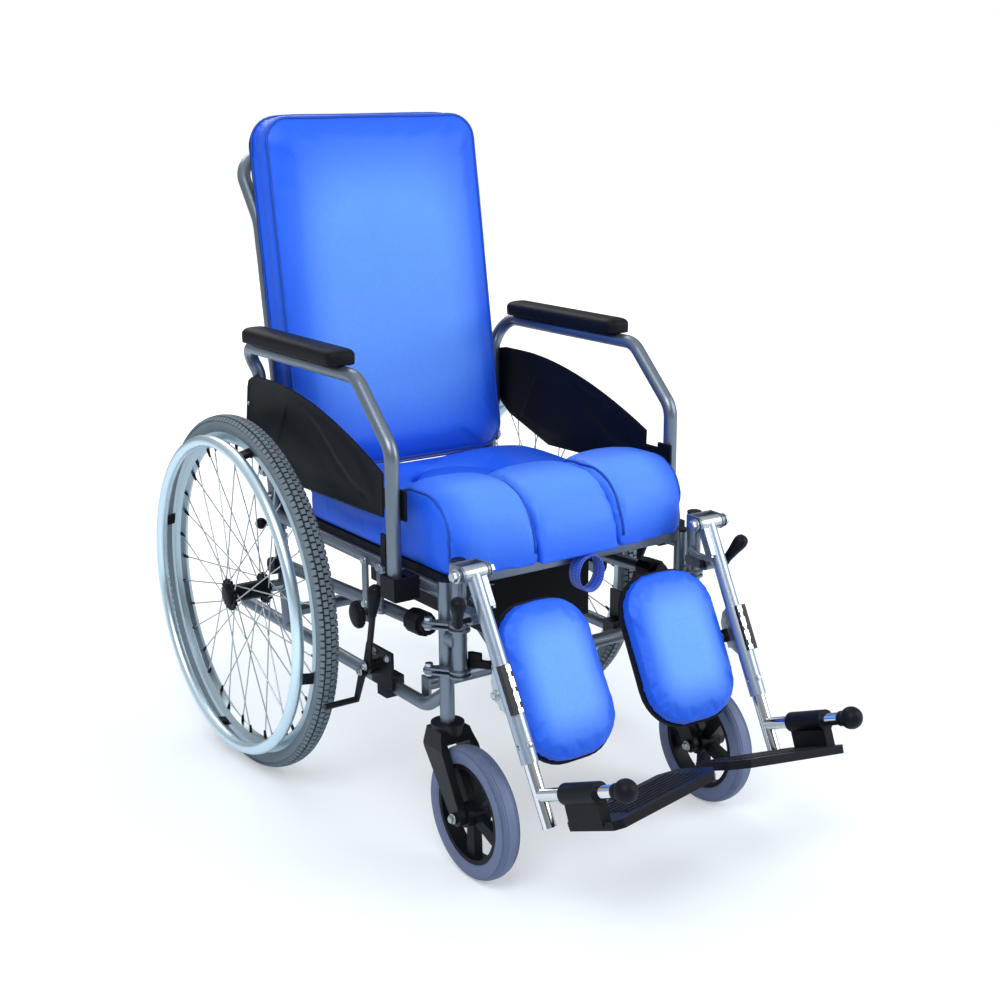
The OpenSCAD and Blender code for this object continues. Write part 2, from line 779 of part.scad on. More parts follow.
module side_frame(s) color(silver) side(s) difference() {
    union() {
        rod([rail_x, fore(upright_ahead), upright_foot],
            [rail_x, fore(upright_ahead), upright_top - cap_t], tube_d);
        rod([rail_x, fore(upright_ahead), top_rail_z], [rail_x, post_y(top_rail_z), top_rail_z], rail_d);
        rod([rail_x, post_y(lower_rail_z), lower_rail_z], [rail_x, post_y(post_top), post_top], tube_d);
        rod(mid_rail_rear, mid_rail_front, rail_d);
        pipe([[rail_x, fore(-rail_tail), lower_rail_z], [rail_x, fore(rail_corner_ahead), lower_rail_z],
            [rail_x, fore(upright_ahead), rail_joint_z]], rail_bend_r, rail_d);
        // Flat bars between the seat rail and the middle rail
        for (a = hang_strap_aheads)
            box([rail_face - hang_strap_bite, fore(a) - hang_strap_w / 2, mid_rail_z(a) - tube_d / 4],
                [rail_face - hang_strap_bite + hang_strap_t, fore(a) + hang_strap_w / 2,
                    top_rail_z + tube_d / 4]);
        // Lugs of the legrest pins
        for (z = [upper_plate_z, lower_plate_z])
            translate([0, 0, z - lug_t]) linear_extrude(lug_t)
                link2d([rail_x, fore(upright_ahead)], tube_d / 3, [swing_pin_x, fore(swing_pin_ahead)],
                    lug_tip_r);
        // Plate and stud of the hand knob
        box([rail_x - plate_t / 2, fore(knob_plate_ahead) - knob_plate_w / 2, knob_axis_z - knob_plate_w / 2],
            [rail_x + plate_t / 2, fore(knob_plate_ahead) + knob_plate_w / 2, mid_rail_z(knob_plate_ahead)]);
        xpin(rail_x, rail_face + knob_stud_len, fore(knob_plate_ahead), knob_axis_z, knob_stud_d);
        // Barrel of the recline plunger and its bracket
        translate([barrel_x, fore(-barrel_behind), barrel_foot])
            cylinder(h = barrel_top - barrel_foot, d = barrel_d);
        box([barrel_x, post_y(barrel_foot), barrel_foot + plate_t],
            [rail_x, fore(-barrel_behind), barrel_foot + 4 * plate_t]);
    }
    translate([rail_x, fore(upright_ahead), upright_foot - over])
        cylinder(h = stem_len + 2 * over, d = stem_d + shaft_room);
    xpin(rail_inner - over, rail_face + over, axle_y, axle_z, axle_d + shaft_room);
    xpin(rail_inner - over, rail_face + over, post_y(back_hinge_z), back_hinge_z, back_hinge_d + shaft_room);
    xpin(rail_inner - over, rail_face + over, fore(-arm_hinge_behind), arm_hinge_z, arm_hinge_d + shaft_room);
    for (z = [upper_plate_z, lower_plate_z])
        translate([swing_pin_x, fore(swing_pin_ahead), z - lug_t - over])
            cylinder(h = lug_t + 2 * over, d = swing_pin_d + shaft_room);
    translate([barrel_x, fore(-barrel_behind), barrel_foot + over])
        cylinder(h = barrel_top - barrel_foot, d = plunger_d + shaft_room);
    xpin(rail_face - tube_d / 3, rail_face + over, fore(arm_latch_ahead), arm_latch_z - tube_d / 2,
        arm_latch_pin_d + shaft_room);
}

module cross_members() color(silver) {
    // Lower cross tubes and the end plates of the front one
    rod([-rail_inner + plate_t, fore(cross_front_ahead), cross_front_z],
        [rail_inner - plate_t, fore(cross_front_ahead), cross_front_z], tube_d);
    for (k = [-1, 1])
        side(k) box([rail_inner - plate_t, fore(cross_front_ahead) - tube_d / 2, lower_rail_z - tube_d / 2],
            [rail_inner, fore(cross_front_ahead) + tube_d / 2, cross_front_z + tube_d / 2]);
    rod([-rail_inner, post_y(cross_rear_z), cross_rear_z],
        [rail_inner, post_y(cross_rear_z), cross_rear_z], tube_d);
    // Seat cross bars
    box([-rail_inner, fore(upright_ahead) - seat_bar / 2, board_z + board_t - seat_bar],
        [rail_inner, fore(upright_ahead) + seat_bar / 2, board_z + board_t]);
    box([-rail_inner, fore(board_rear_ahead) + gap, rail_top],
        [rail_inner, fore(board_rear_ahead) + gap + seat_bar_back, board_z]);
    // Channel rails of the bucket, and the tongue that holds each to the front bar
    for (k = [-1, 1]) side(k) {
        box([rail_half, fore(rail_end_ahead), pan_lip_z - rail_web_t],
            [rail_half + rail_web_t, fore(rail_rear_ahead), board_z]);
        box([rail_half - rail_lip, fore(rail_end_ahead), pan_lip_z - rail_web_t],
            [rail_half, fore(rail_rear_ahead), pan_lip_z]);
        box([rail_half, fore(rail_end_ahead), board_z - rail_web_t],
            [rail_half + rail_flange, fore(rail_rear_ahead), board_z]);
        box([rail_half, fore(upright_ahead), board_z - rail_web_t],
            [rail_half + rail_flange, fore(rail_end_ahead), board_z]);
        box([rail_half, fore(rail_rear_ahead), rail_top],
            [rail_half + rail_web_t, fore(board_rear_ahead) + gap, board_z]);
    }
}

// Black caps, armrest sockets and rear knobs
module side_fittings() {
    translate([rail_x, fore(upright_ahead), upright_top - cap_t]) cylinder(h = cap_t, d = tube_d);
    lean = unit([0, sin(back_tilt), cos(back_tilt)]);
    top = [rail_x, post_y(post_top), post_top];
    rod(top, top + lean * post_cap_t, tube_d + cap_swell);
    tail = [rail_x, fore(-rail_tail), lower_rail_z];
    rod(tail, tail + [0, post_cap_t, 0], tube_d + cap_swell);
    along = unit(mid_rail_front - mid_rail_rear);
    rod(mid_rail_front, mid_rail_front + along * 0.75 * mid_cap_len, mid_cap_d, $fn = 10);
    rod(mid_rail_front + along * 0.75 * mid_cap_len, mid_rail_front + along * mid_cap_len,
        0.75 * mid_cap_d, $fn = 10);
    difference() {
        union() {
            box([rail_face, fore(arm_post_ahead) - arm_d / 2 - socket_slide - socket_wall,
                arm_foot_z - socket_floor],
                [arm_x + arm_d / 2 + socket_wall, fore(arm_post_ahead) + arm_d / 2 + socket_wall,
                    socket_top]);
            box([rail_face, fore(arm_post_ahead) - arm_d / 2, arm_foot_z - 2 * socket_floor],
                [arm_x + arm_d / 4, fore(arm_post_ahead) + arm_d / 4, arm_foot_z]);
        }
        box([arm_x - arm_d / 2 - gap, fore(arm_post_ahead) - arm_d / 2 - gap - socket_slide,
            arm_foot_z - gap],
            [arm_x + arm_d / 2 + gap, fore(arm_post_ahead) + arm_d / 2 + gap, socket_top + over]);
    }
    xpin(rail_face, rail_face + plate_t, mid_rail_rear.y, mid_rail_rear_z, rear_knob_d / 2);
    xpin(rail_face + plate_t, rail_face + 3 * plate_t, mid_rail_rear.y, mid_rail_rear_z, rear_knob_d);
}

module frame_fittings() color(black) for (k = [-1, 1]) side(k) side_fittings();

// Axles, hinge bolts and legrest pins
module side_fasteners() {
    xpin(rail_inner - bolt_head_t, rail_inner, axle_y, axle_z, axle_head_d);
    xpin(rail_inner, hub_face + gap, axle_y, axle_z, axle_d);
    xpin(hub_face + gap, hub_face + gap + axle_head_t, axle_y, axle_z, axle_head_d);
    xpin(rail_face, hub_inner - gap, axle_y, axle_z, spacer_d);
    xpin(back_x - tube_d / 2 - gap - bolt_head_t, back_x - tube_d / 2 - gap, post_y(back_hinge_z),
        back_hinge_z,
        back_hinge_d + 2 * head_flange);
    xbolt(back_x - tube_d / 2 - gap, rail_face, post_y(back_hinge_z), back_hinge_z, back_hinge_d);
    xpin(rail_inner - bolt_head_t / 2, rail_inner, fore(-arm_hinge_behind), arm_hinge_z,
        arm_hinge_d + head_flange);
    xbolt(rail_inner, arm_drop_x + arm_ear_t / 2 + gap, fore(-arm_hinge_behind), arm_hinge_z, arm_hinge_d);
    for (z = [upper_plate_z, lower_plate_z]) {
        reach = swing_plate_t + 2 * gap;
        translate([swing_pin_x, fore(swing_pin_ahead), z - lug_t - reach])
            cylinder(h = lug_t + 2 * reach, d = swing_pin_d);
        translate([swing_pin_x, fore(swing_pin_ahead), z + reach])
            cylinder(h = bolt_head_t, d = swing_pin_d + head_flange);
        translate([swing_pin_x, fore(swing_pin_ahead), z - lug_t - reach - bolt_head_t / 2])
            cylinder(h = bolt_head_t / 2, d = swing_pin_d + head_flange);
    }
    xbolt(rail_face - tube_d / 3, arm_latch_x + arm_latch_t / 2 + gap, fore(arm_latch_ahead),
        arm_latch_z - tube_d / 2,
        arm_latch_pin_d);
    // Screws of the flat bars
    for (a = hang_strap_aheads, z = [mid_rail_z(a), top_rail_z])
        xpin(rail_face - hang_strap_bite + hang_strap_t,
            rail_face - hang_strap_bite + hang_strap_t + plate_t, fore(a), z,
            hang_strap_w - head_flange);
}

module frame_fasteners() color(chrome) for (k = [-1, 1]) side(k) side_fasteners();

// Seat

module insert_outline(half, rear_r) {
    translate([0, fore(insert_ahead)]) circle(r = rear_r);
    translate([-half, fore(seat_front_ahead + over)])
        square([2 * half, seat_front_ahead + over - insert_ahead]);
}

module seat_board() color(dark) translate([0, 0, board_z]) linear_extrude(board_t) difference() {
    translate([-board_half, fore(upright_ahead - tube_d / 2 - gap)])
        square([2 * board_half, upright_ahead - tube_d / 2 - gap - board_rear_ahead]);
    insert_outline(insert_w / 2 - ledge_w, insert_w / 2 - ledge_w);
}

// Front edge of the seat at a distance from the middle
function seat_front(x) = seat_front_ahead - seat_corner_back * pow(2 * x / seat_w, 2);
// Height of the top of the seat, for a place and the front edge there
function seat_level(ahead, front) =
    ahead <= roll_front_ahead
        ? seat_top + (roll_top - seat_top)
            * ease((ahead - roll_start_ahead) / (roll_crest_ahead - roll_start_ahead))
        : let (u = min(1, (ahead - roll_front_ahead) / (front - roll_front_ahead)))
            cushion_z + front_foot + (roll_top - cushion_z - front_foot) * pow(1 - pow(u, 2.2), 1 / 2.2);

// Stations round the seat from the front right corner, by the back, to the front left corner
arm_share = [0, 0.012, 0.035, 0.07, 0.12, 0.17, 0.23, 0.3, 0.37, 0.44, 0.52, 0.62, 0.8, 1];
edge_share = [0, 0.02, 0.07, 0.15, 0.3, 0.5, 0.7, 0.85, 0.93, 0.98, 1];
edge_drop_share = [1, 0.42, 0.13, 0.03, 0, 0, 0, 0.03, 0.13, 0.42, 1];
inner_r = insert_w / 2 + gap;
// Plan of one station: inner point, outer point and how far ahead each lies
arm_stations = [
    for (t = arm_share)
        let (
            x_in = inner_r,
            lead_in = seat_front(x_in) + t * (insert_ahead - seat_front(x_in)),
            lead_out = seat_front(seat_w / 2) + t * (insert_ahead - seat_front(seat_w / 2)),
            round_off = seat_corner_r * (1 - sqrt(1 - pow(1 - min(1, t * 12), 2)))
        )
            [[x_in, lead_in], [seat_w / 2 - round_off, lead_out]]
];
back_stations = [
    for (a = [9 : 9 : 90])
        let (
            x_in = inner_r * cos(a),
            lead_in = insert_ahead - inner_r * sin(a),
            reach_x = seat_w / 2 / max(cos(a), 0.001),
            reach_y = (insert_ahead - seat_rear_ahead) / max(sin(a), 0.001),
            reach = pow(pow(reach_x, -8) + pow(reach_y, -8), -1 / 8)
        )
            [[x_in, lead_in], [reach * cos(a), insert_ahead - reach * sin(a)]]
];
half_stations = concat(arm_stations, back_stations);

function seat_ring(st, s) =
    let (
        pi_ = st[0],
        po = st[1],
        n = len(edge_share) - 1,
        side_tuck = welt * 1.5
    )
        concat(
            [for (i = [0 : n])
                let (
                    q = pi_ + (po - pi_) * edge_share[i],
                    front = seat_front(min(q.x, seat_w / 2)),
                    top = seat_level(q.y, front),
                    low = cushion_z + front_foot / 2,
                    bow = top > seat_top - crown_h ? crown_h * 4 * edge_share[i] * (1 - edge_share[i]) : 0,
                    z = max(low, top + bow - crown_h - edge_drop_share[i] * seat_edge_r)
                )
                    [s * q.x, fore(q.y), z]],
            let (d = unit(po - pi_) * side_tuck)
                [[s * (po - d).x, fore((po - d).y), cushion_z + front_foot / 3],
                    [s * (po - 4 * d).x, fore((po - 4 * d).y), cushion_z],
                    [s * (pi_ + 4 * d).x, fore((pi_ + 4 * d).y), cushion_z],
                    [s * pi_.x, fore(pi_.y), cushion_z + front_foot / 3]]
        );

module seat_cushion() color(vinyl) skin(concat(
    [for (i = [0 : len(half_stations) - 1]) seat_ring(half_stations[i], 1)],
    [for (i = [len(half_stations) - 2 : -1 : 0]) seat_ring(half_stations[i], -1)]
));

// Insert: sections across the seat, each a closed outline from front to rear
plug_side_share = [0, 0.03, 0.1, 0.22, 0.4, 0.6, 0.78, 0.9, 0.97, 1];
plug_drop_share = [1, 0.42, 0.13, 0.03, 0, 0, 0.03, 0.13, 0.42, 1];
plug_len_share = [0, 0.012, 0.04, 0.08, 0.14, 0.2, 0.28, 0.36, 0.45, 0.56, 0.7, 0.82, 0.92, 0.975, 1];
plug_half = insert_w / 2 - 2 * gap;

function plug_ring(j) =
    let (
        x = plug_half * (2 * plug_side_share[j] - 1),
        front = seat_front(x),
        rear = insert_ahead - sqrt(max(0, plug_half * plug_half - x * x)),
        n = len(plug_len_share) - 1
    )
        concat(
            [for (i = [0 : n])
                let (
                    lead = front + (rear - front) * plug_len_share[i],
                    end_drop = i == n ? 1 : i == n - 1 ? 0.3 : 0,
                    drop = max(plug_drop_share[j], end_drop) * seat_edge_r
                )
                    [x, fore(lead),
                        max(cushion_z + front_foot / 2, seat_level(lead, front) - crown_h - drop)]],
            [[x, fore(rear), cushion_z], [x, fore(front), cushion_z]]
        );

module seat_plug() color(vinyl) skin([for (j = [len(plug_side_share) - 1 : -1 : 0]) plug_ring(j)]);

module pull_strap() color(vinyl) {
    y = fore(upright_ahead) - seat_bar / 2 - gap;
    translate([strap_x, y, cushion_z - gap - strap_r]) rotate([90, 0, 0]) difference() {
        cylinder(h = strap_w, r = strap_r);
        translate([0, 0, -over]) cylinder(h = strap_w + 2 * over, r = strap_r - strap_t);
    }
    box([strap_x - strap_tab / 2, y - strap_w, cushion_z - gap - strap_t],
        [strap_x + strap_tab / 2, y, cushion_z - gap]);
}

// Bucket: an open box with a rim that slides on the rails
module pan() color(black) {
    half = rail_half - gap * 3;
    y0 = fore(pan_front_ahead);
    difference() {
        union() {
            box([-half, y0, pan_lip_z + gap], [half, y0 + pan_len, pan_lip_z + gap + pan_flange_t]);
            box([gap * 3 + rail_lip - rail_half, y0 + pan_wall, pan_floor_z],
                [rail_half - rail_lip - gap * 3, y0 + pan_len - pan_wall, pan_lip_z + gap + pan_flange_t]);
        }
        box([gap * 3 + rail_lip - rail_half + pan_wall, y0 + 2 * pan_wall, pan_floor_z + pan_wall],
            [rail_half - rail_lip - gap * 3 - pan_wall, y0 + pan_len - 2 * pan_wall,
                pan_lip_z + pan_flange_t + over]);
    }
}

// Back: along the back, from the hinge up

module at_back() translate([0, post_y(back_hinge_z), back_hinge_z]) rotate([-back_tilt, 0, 0]) children();

module back_frame() color(silver) at_back() difference() {
    union() {
        top = [back_x, hoop_len * sin(kink_angle), back_kink + hoop_len * cos(kink_angle)];
        pipe([[back_x, 0, -back_tail], [back_x, 0, back_kink], top, [-top.x, top.y, top.z],
            [-back_x, 0, back_kink], [-back_x, 0, -back_tail]], back_bend_r, tube_d);
        for (l = back_rungs) rod([-back_x, 0, l], [back_x, 0, l], back_rung_d);
        for (k = [-1, 1]) side(k)
            xpin(rail_inner - 2 * gap - hinge_disc_t, rail_inner - 2 * gap, 0, 0, 2 * hinge_disc_r);
    }
    for (k = [-1, 1]) side(k) xpin(back_x - tube_d, rail_x, 0, 0, back_hinge_d + shaft_room);
}

module back_board() color(dark) at_back()
    translate([0, -(tube_d + bend_swell) / 2, back_low + back_h / 2]) rotate([90, 0, 0])
        linear_extrude(back_board_t)
        polygon(round_rect(back_w - 2 * back_board_inset, back_h - 2 * back_board_inset,
            back_corner_r - back_board_inset, 10));

module back_pad() color(vinyl) at_back()
    translate([0, -tube_d / 2 - back_board_t - gap, back_low + back_h / 2]) rotate([90, 0, 0])
        stuffed_pad(back_w, back_h, back_corner_r, back_t - gap, back_t / 7, 8);

module recline_plunger(s) color(black) side(s) {
    y = fore(-barrel_behind);
    collar_z = barrel_top + plunger_travel + gap;
    translate([barrel_x, y, barrel_foot + plunger_travel + 2 * over])
        cylinder(h = back_hinge_z - hinge_disc_r - gap - barrel_foot - plunger_travel - 2 * over,
            d = plunger_d);
    translate([barrel_x, y, collar_z]) cylinder(h = plunger_collar_t, d = plunger_collar_d);
    rod([barrel_x, y, collar_z + plunger_collar_t / 2],
        [plunger_ball.x, axle_y + plunger_ball.y, plunger_ball.z], plunger_arm_d);
    translate([plunger_ball.x, axle_y + plunger_ball.y, plunger_ball.z]) sphere(d = plunger_ball_d);
}

// Armrests

module armrest_tube(s) color(silver) side(s) difference() {
    union() {
        y_front = fore(arm_post_ahead);
        y_rear = fore(-arm_rear);
        pipe([[arm_x, y_front, arm_foot_z], [arm_x, y_front, arm_knee_z],
            [arm_x, fore(arm_bend_ahead), arm_z],
            [arm_x, y_rear, arm_z], [arm_drop_x, y_rear, arm_elbow_z], [arm_drop_x, y_rear, arm_leg_foot_z]],
            arm_bend_r, arm_d);
        slab(arm_drop_x - arm_ear_t / 2, arm_drop_x + arm_ear_t / 2)
            link2d([fore(-arm_hinge_behind), arm_hinge_z], arm_ear_r,
                [y_rear, arm_leg_foot_z + 2 * arm_ear_t], arm_d / 2);
    }
    xpin(arm_drop_x - arm_d, arm_x, fore(-arm_hinge_behind), arm_hinge_z, arm_hinge_d + shaft_room);
}

module armrest_pad(s) color(black) side(s)
    translate([arm_x, fore(-arm_pad_rear) - arm_pad_len / 2, arm_z + arm_d / 2 + gap / 3])
        stuffed_pad(arm_pad_w, arm_pad_len, arm_pad_w / 3, arm_pad_t, arm_pad_t / 6, 3);

// Outline of the side panel: ahead of the axle, and height, as shares of the armrest's size
function panel_arc(a, top_share) = top_share - 0.602 * pow(max(0, a - 0.1), 1.79);
panel_outline_shares = concat(
    [[-0.125, 0.65], [-0.113, 0.71], [-0.08, 0.745], [-0.04, 0.762]],
    [for (a = [0.05 : 0.1 : 0.85]) [a, panel_arc(a, 0.763)]],
    [[0.895, 0.363], [0.888, 0.05], [0.27, 0.02], [-0.01, 0.2], [-0.146, 0.384]]
);
panel_ridge_shares = concat(
    [for (a = [0 : 0.1 : 0.8]) [a, panel_arc(a, 0.683)]],
    [[0.83, 0.3], [0.83, 0.12], [0.29, 0.1], [0.06, 0.25], [-0.06, 0.4]]
);
function panel_points(shares) =
    [for (q = shares) [fore(q[0] * arm_post_ahead), arm_hinge_z + q[1] * (arm_z - arm_hinge_z)]];

module armrest_panel(s) color(black) side(s) difference() {
    union() {
        slab(panel_x, panel_x + panel_t) polygon(panel_points(panel_outline_shares));
        slab(panel_x + panel_t, panel_x + panel_t + panel_ridge) polygon(panel_points(panel_ridge_shares));
        // Clip on the front post
        box([arm_x - arm_d / 2 - gap - arm_latch_t, fore(arm_post_ahead + arm_d / 2), clip_z - arm_latch_w],
            [arm_x - arm_d / 2 - gap, fore(0.87 * arm_post_ahead), clip_z + arm_latch_w]);
        xpin(panel_x + panel_t, panel_x + panel_t + 2 * panel_ridge, fore(-arm_rear),
            0.47 * arm_hinge_z + 0.53 * arm_z,
            arm_latch_w);
    }
    slab(panel_x + panel_t, panel_x + panel_t + panel_ridge + over)
        translate([fore(0.4 * arm_post_ahead), arm_hinge_z + 0.36 * (arm_z - arm_hinge_z)])
            scale(0.86) translate([-fore(0.4 * arm_post_ahead), -arm_hinge_z - 0.36 * (arm_z - arm_hinge_z)])
                polygon(panel_points(panel_ridge_shares));
}

module armrest_latch(s) color(black) side(s) difference() {
    slab(arm_latch_x - arm_latch_t / 2, arm_latch_x + arm_latch_t / 2) {
        translate([fore(arm_latch_ahead), arm_latch_z - tube_d / 2]) circle(d = arm_latch_w);
        translate([fore(arm_latch_ahead) - arm_latch_w / 2 + gap, arm_latch_z - tube_d / 2])
            square([arm_latch_w - 2 * gap, arm_latch_top - arm_latch_z + tube_d / 2]);
    }
    xpin(arm_latch_x - arm_latch_w, arm_latch_x + arm_latch_w, fore(arm_latch_ahead),
        arm_latch_z - tube_d / 2,
        arm_latch_pin_d + shaft_room);
}

// Legrests: turned inwards about their swing pins

module at_legrest(s) side(s)
    translate([swing_pin_x, fore(swing_pin_ahead), 0]) rotate([0, 0, -legrest_toe])
        translate([-swing_pin_x, -fore(swing_pin_ahead), 0]) children();

// Along the leg: -Z down the tube from the pivot, -Y forward of it, +X outboard
module at_leg() translate([rail_x, fore(pivot_ahead), pivot_z]) rotate([-leg_tilt, 0, 0]) children();

// At the cross tube of the foot: -Y along that tube, +Z above it
module at_foot() at_leg() translate([0, 0, -leg_len]) rotate([leg_tilt - foot_rise, 0, 0]) children();

module legrest_hanger(s) color(silver) at_legrest(s) difference() {
    y = fore(hanger_ahead);
    lowest = lower_plate_z - lug_t - gap - swing_plate_t;
    union() {
        translate([rail_x, y, lowest]) cylinder(h = hanger_top - lowest, d = tube_d);
        translate([rail_x, y, hanger_top]) cylinder(h = cap_t, d = tube_d);
        for (z = [upper_plate_z + gap, upper_plate_z - lug_t - gap - swing_plate_t,
                lower_plate_z + gap, lower_plate_z - lug_t - gap - swing_plate_t])
            translate([0, 0, z]) linear_extrude(swing_plate_t) {
                link2d([swing_pin_x, fore(swing_pin_ahead)], swing_bar_w / 2, [rail_x, y], swing_bar_w / 2);
                translate([rail_x, y]) circle(r = hanger_ring_r);
            }
        // Clevis of the leg
        box([rail_x - clevis_gap / 2 - clevis_t, y - tube_d / 2 - clevis_t / 4 * 3,
            hanger_top - clevis_h + cap_t],
            [rail_x + clevis_gap / 2 + clevis_t, y - tube_d / 2 + clevis_t / 4, hanger_top + cap_t]);
        for (k = [-1, 1])
            translate([rail_x + k * (clevis_gap + clevis_t) / 2, 0, 0]) slab(-clevis_t / 2, clevis_t / 2) {
                translate([fore(pivot_ahead), pivot_z]) circle(d = clevis_h);
                translate([fore(pivot_ahead), pivot_z - clevis_h / 2])
                    square([pivot_reach - tube_d / 2, clevis_h]);
            }
        // Bracket of the elevation lever
        slab(rail_x - tube_d / 2, rail_x + tube_d / 2)
            link2d([fore(pivot_ahead + lever_back), pivot_z - lever_drop], lever_d,
                [y, pivot_z - lever_drop], lever_d);
        // Pivot bolt of the leg
        xpin(rail_x - clevis_gap / 2 - clevis_t - bolt_head_t / 2, rail_x - clevis_gap / 2 - clevis_t,
            fore(pivot_ahead),
            pivot_z, pivot_d + 2 * head_flange);
        xbolt(rail_x - clevis_gap / 2 - clevis_t, rail_x + clevis_gap / 2 + clevis_t, fore(pivot_ahead),
            pivot_z, pivot_d);
        // Disc against the upright
        translate([rail_x, y, hanger_disc_z]) rotate([-90, 0, 0])
            cylinder(h = hanger_gap - tube_d / 2 - 2 * gap - toe_shift, d = hanger_disc_d);
    }
    translate([swing_pin_x, fore(swing_pin_ahead), lowest - over])
        cylinder(h = hanger_top - lowest, d = swing_pin_d + shaft_room);
    xpin(rail_inner - over, rail_face + over, fore(pivot_ahead + lever_back), pivot_z - lever_drop,
        lever_d + shaft_room);
    translate([rail_x + latch_x, y, lowest - over]) cylinder(h = hanger_top, d = latch_pin_d + shaft_room);
}

module swing_latch(s) color(black) at_legrest(s) {
    z = lower_plate_z + 2 * gap + swing_plate_t;
    y = fore(hanger_ahead);
    x = rail_x + latch_x;
    translate([0, 0, z]) linear_extrude(latch_h / 2)
        link2d([x, y], latch_pin_d, [x - latch_len / 2, y - latch_len * 0.8], latch_pin_d / 2);
    translate([0, 0, z + latch_h / 2]) linear_extrude(latch_h / 2)
        link2d([x, y], latch_pin_d * 0.8, [x - latch_len / 4, y - latch_len * 0.4], latch_pin_d / 2);
}

module leg_tube(s) color(silver) at_legrest(s) at_leg() difference() {
    union() {
        xpin(-clevis_gap / 2 + gap, clevis_gap / 2 - gap, 0, 0, pivot_barrel_d);
        rod([0, 0, 0], [0, 0, -sleeve_start - over], tube_d);
        rod([0, 0, -sleeve_start], [0, 0, -sleeve_end], sleeve_d);
        // Locking sector and its web
        slab(sector_x - sector_t / 2, sector_x + sector_t / 2) intersection() {
            difference() {
                circle(r = sector_r);
                circle(r = sector_r - sector_w);
            }
            polygon([[0, 0], 2 * radial(sector_r, -90 - sector_front), 2 * [0, -sector_r],
                2 * radial(sector_r, sector_rear - 90)]);
        }
        box([sector_x - sector_t / 2, -tube_d / 3, -sector_r + sector_w / 2],
            [-tube_d / 3, tube_d / 3, -pivot_barrel_d / 3]);
        // Notched strip down the front
        for (i = [0 : ratchet_count - 1])
            box([-ratchet_w / 2, -sleeve_d / 2 - ratchet_t / 2, -sleeve_start - ratchet_step * (i + 0.5)],
                [ratchet_w / 2, -sleeve_d / 3, -sleeve_start - ratchet_step * i]);
        box([-ratchet_w / 2, -sleeve_d / 2 - ratchet_t / 6, -sleeve_start - ratchet_step * ratchet_count],
            [ratchet_w / 2, -sleeve_d / 3, -sleeve_start]);
        // Bracket of the calf pad
        slab(-plate_t, 0) {
            translate([0, -calf_pin_l - calf_arm_w]) square([-calf_pin_p, 2 * calf_arm_w]);
            translate([-calf_pin_p, -calf_pin_l]) circle(r = calf_pin_d);
        }
        xpin(-plate_t - gap - calf_arm_t - gap, -plate_t, -calf_pin_p, -calf_pin_l, calf_pin_d);
        xpin(-plate_t - 2 * gap - calf_arm_t - bolt_head_t / 2, -plate_t - 2 * gap - calf_arm_t,
            -calf_pin_p, -calf_pin_l,
            calf_pin_d + head_flange);
    }
    xpin(-clevis_gap, clevis_gap, 0, 0, pivot_d + shaft_room);
    rod([0, 0, -bore_start], [0, 0, -sleeve_end - over], foot_d + shaft_room);
    xpin(-sleeve_d, sleeve_d, 0, -sleeve_end + sleeve_d, sleeve_hole_d);
}

module elevation_lever(s) color(black) at_legrest(s) {
    y = fore(pivot_ahead + lever_back);
    z = pivot_z - lever_drop;
    xpin(rail_x + sector_x - sector_t / 2, rail_face + 3 * lever_d, y, z, lever_d);
    // Pawl under the locking sector
    slab(rail_x + sector_x - sector_t / 2, rail_x + sector_x + sector_t / 2)
        translate([y - lever_d * 0.4, z]) square([lever_d * 0.8, lever_drop - sector_r - 2 * gap]);
    // Pear handle
    a = [rail_face + 2.5 * lever_d, y, z];
    b = a + [lever_d * 1.7, -lever_d * 2.5, lever_d * 4.3];
    rod(a, b, lever_grip_d * 0.6);
    translate(a) sphere(d = lever_grip_d * 0.75);
    translate(a + (b - a) * 0.75) sphere(d = lever_grip_d * 0.9);
    translate(b) sphere(d = lever_grip_d);
}

module calf_pad(s) color(vinyl) at_legrest(s) at_leg()
    translate([calf_edge_x - calf_w / 2, -calf_front_p + calf_t, -calf_mid]) rotate([90, 0, 0])
        stuffed_pad(calf_w, calf_len, calf_w / 2.6, calf_t, calf_t / 5, 8);

module calf_backing(s) color(black) at_legrest(s) at_leg() {
    back_y = -calf_front_p + calf_t + gap;
    arm_y = back_y + calf_board_t;
    translate([calf_edge_x - calf_w / 2, back_y + calf_board_t, -calf_mid]) rotate([90, 0, 0])
        linear_extrude(calf_board_t)
            polygon(round_rect(calf_w + 2 * calf_rim, calf_len + 2 * calf_rim, calf_w / 2.6 + calf_rim, 8));
    difference() {
        union() {
            box([calf_edge_x - calf_w / 2, arm_y, -calf_pin_l - calf_arm_w / 2],
                [-plate_t - gap, arm_y + calf_arm_t, -calf_pin_l + calf_arm_w / 2]);
            box([-plate_t - gap - calf_arm_t, -calf_pin_p - calf_arm_w / 2, -calf_pin_l - calf_arm_w / 2],
                [-plate_t - gap, arm_y + calf_arm_t, -calf_pin_l + calf_arm_w / 2]);
        }
        xpin(-plate_t - 2 * calf_arm_w, 0, -calf_pin_p, -calf_pin_l, calf_pin_d + shaft_room);
        xpin(-plate_t - gap - 2 * calf_arm_t, -plate_t - gap - calf_arm_t, -calf_pin_p, -calf_pin_l,
            calf_pin_d + head_flange + 2 * gap);
    }
}

module foot_tube(s) color(chrome) at_legrest(s) {
    at_leg() {
        rod([0, 0, -foot_inside], [0, 0, -leg_len - foot_below], foot_d);
        rod([0, 0, -leg_len - foot_below], [0, 0, -leg_len - foot_below - foot_cap_t], foot_d + cap_swell);
    }
    at_foot() {
        rod([0, 0, 0], [0, knob_d / 4 - foot_reach, 0], foot_cross_d);
        translate([0, -foot_reach, 0]) sphere(d = knob_d);
    }
}

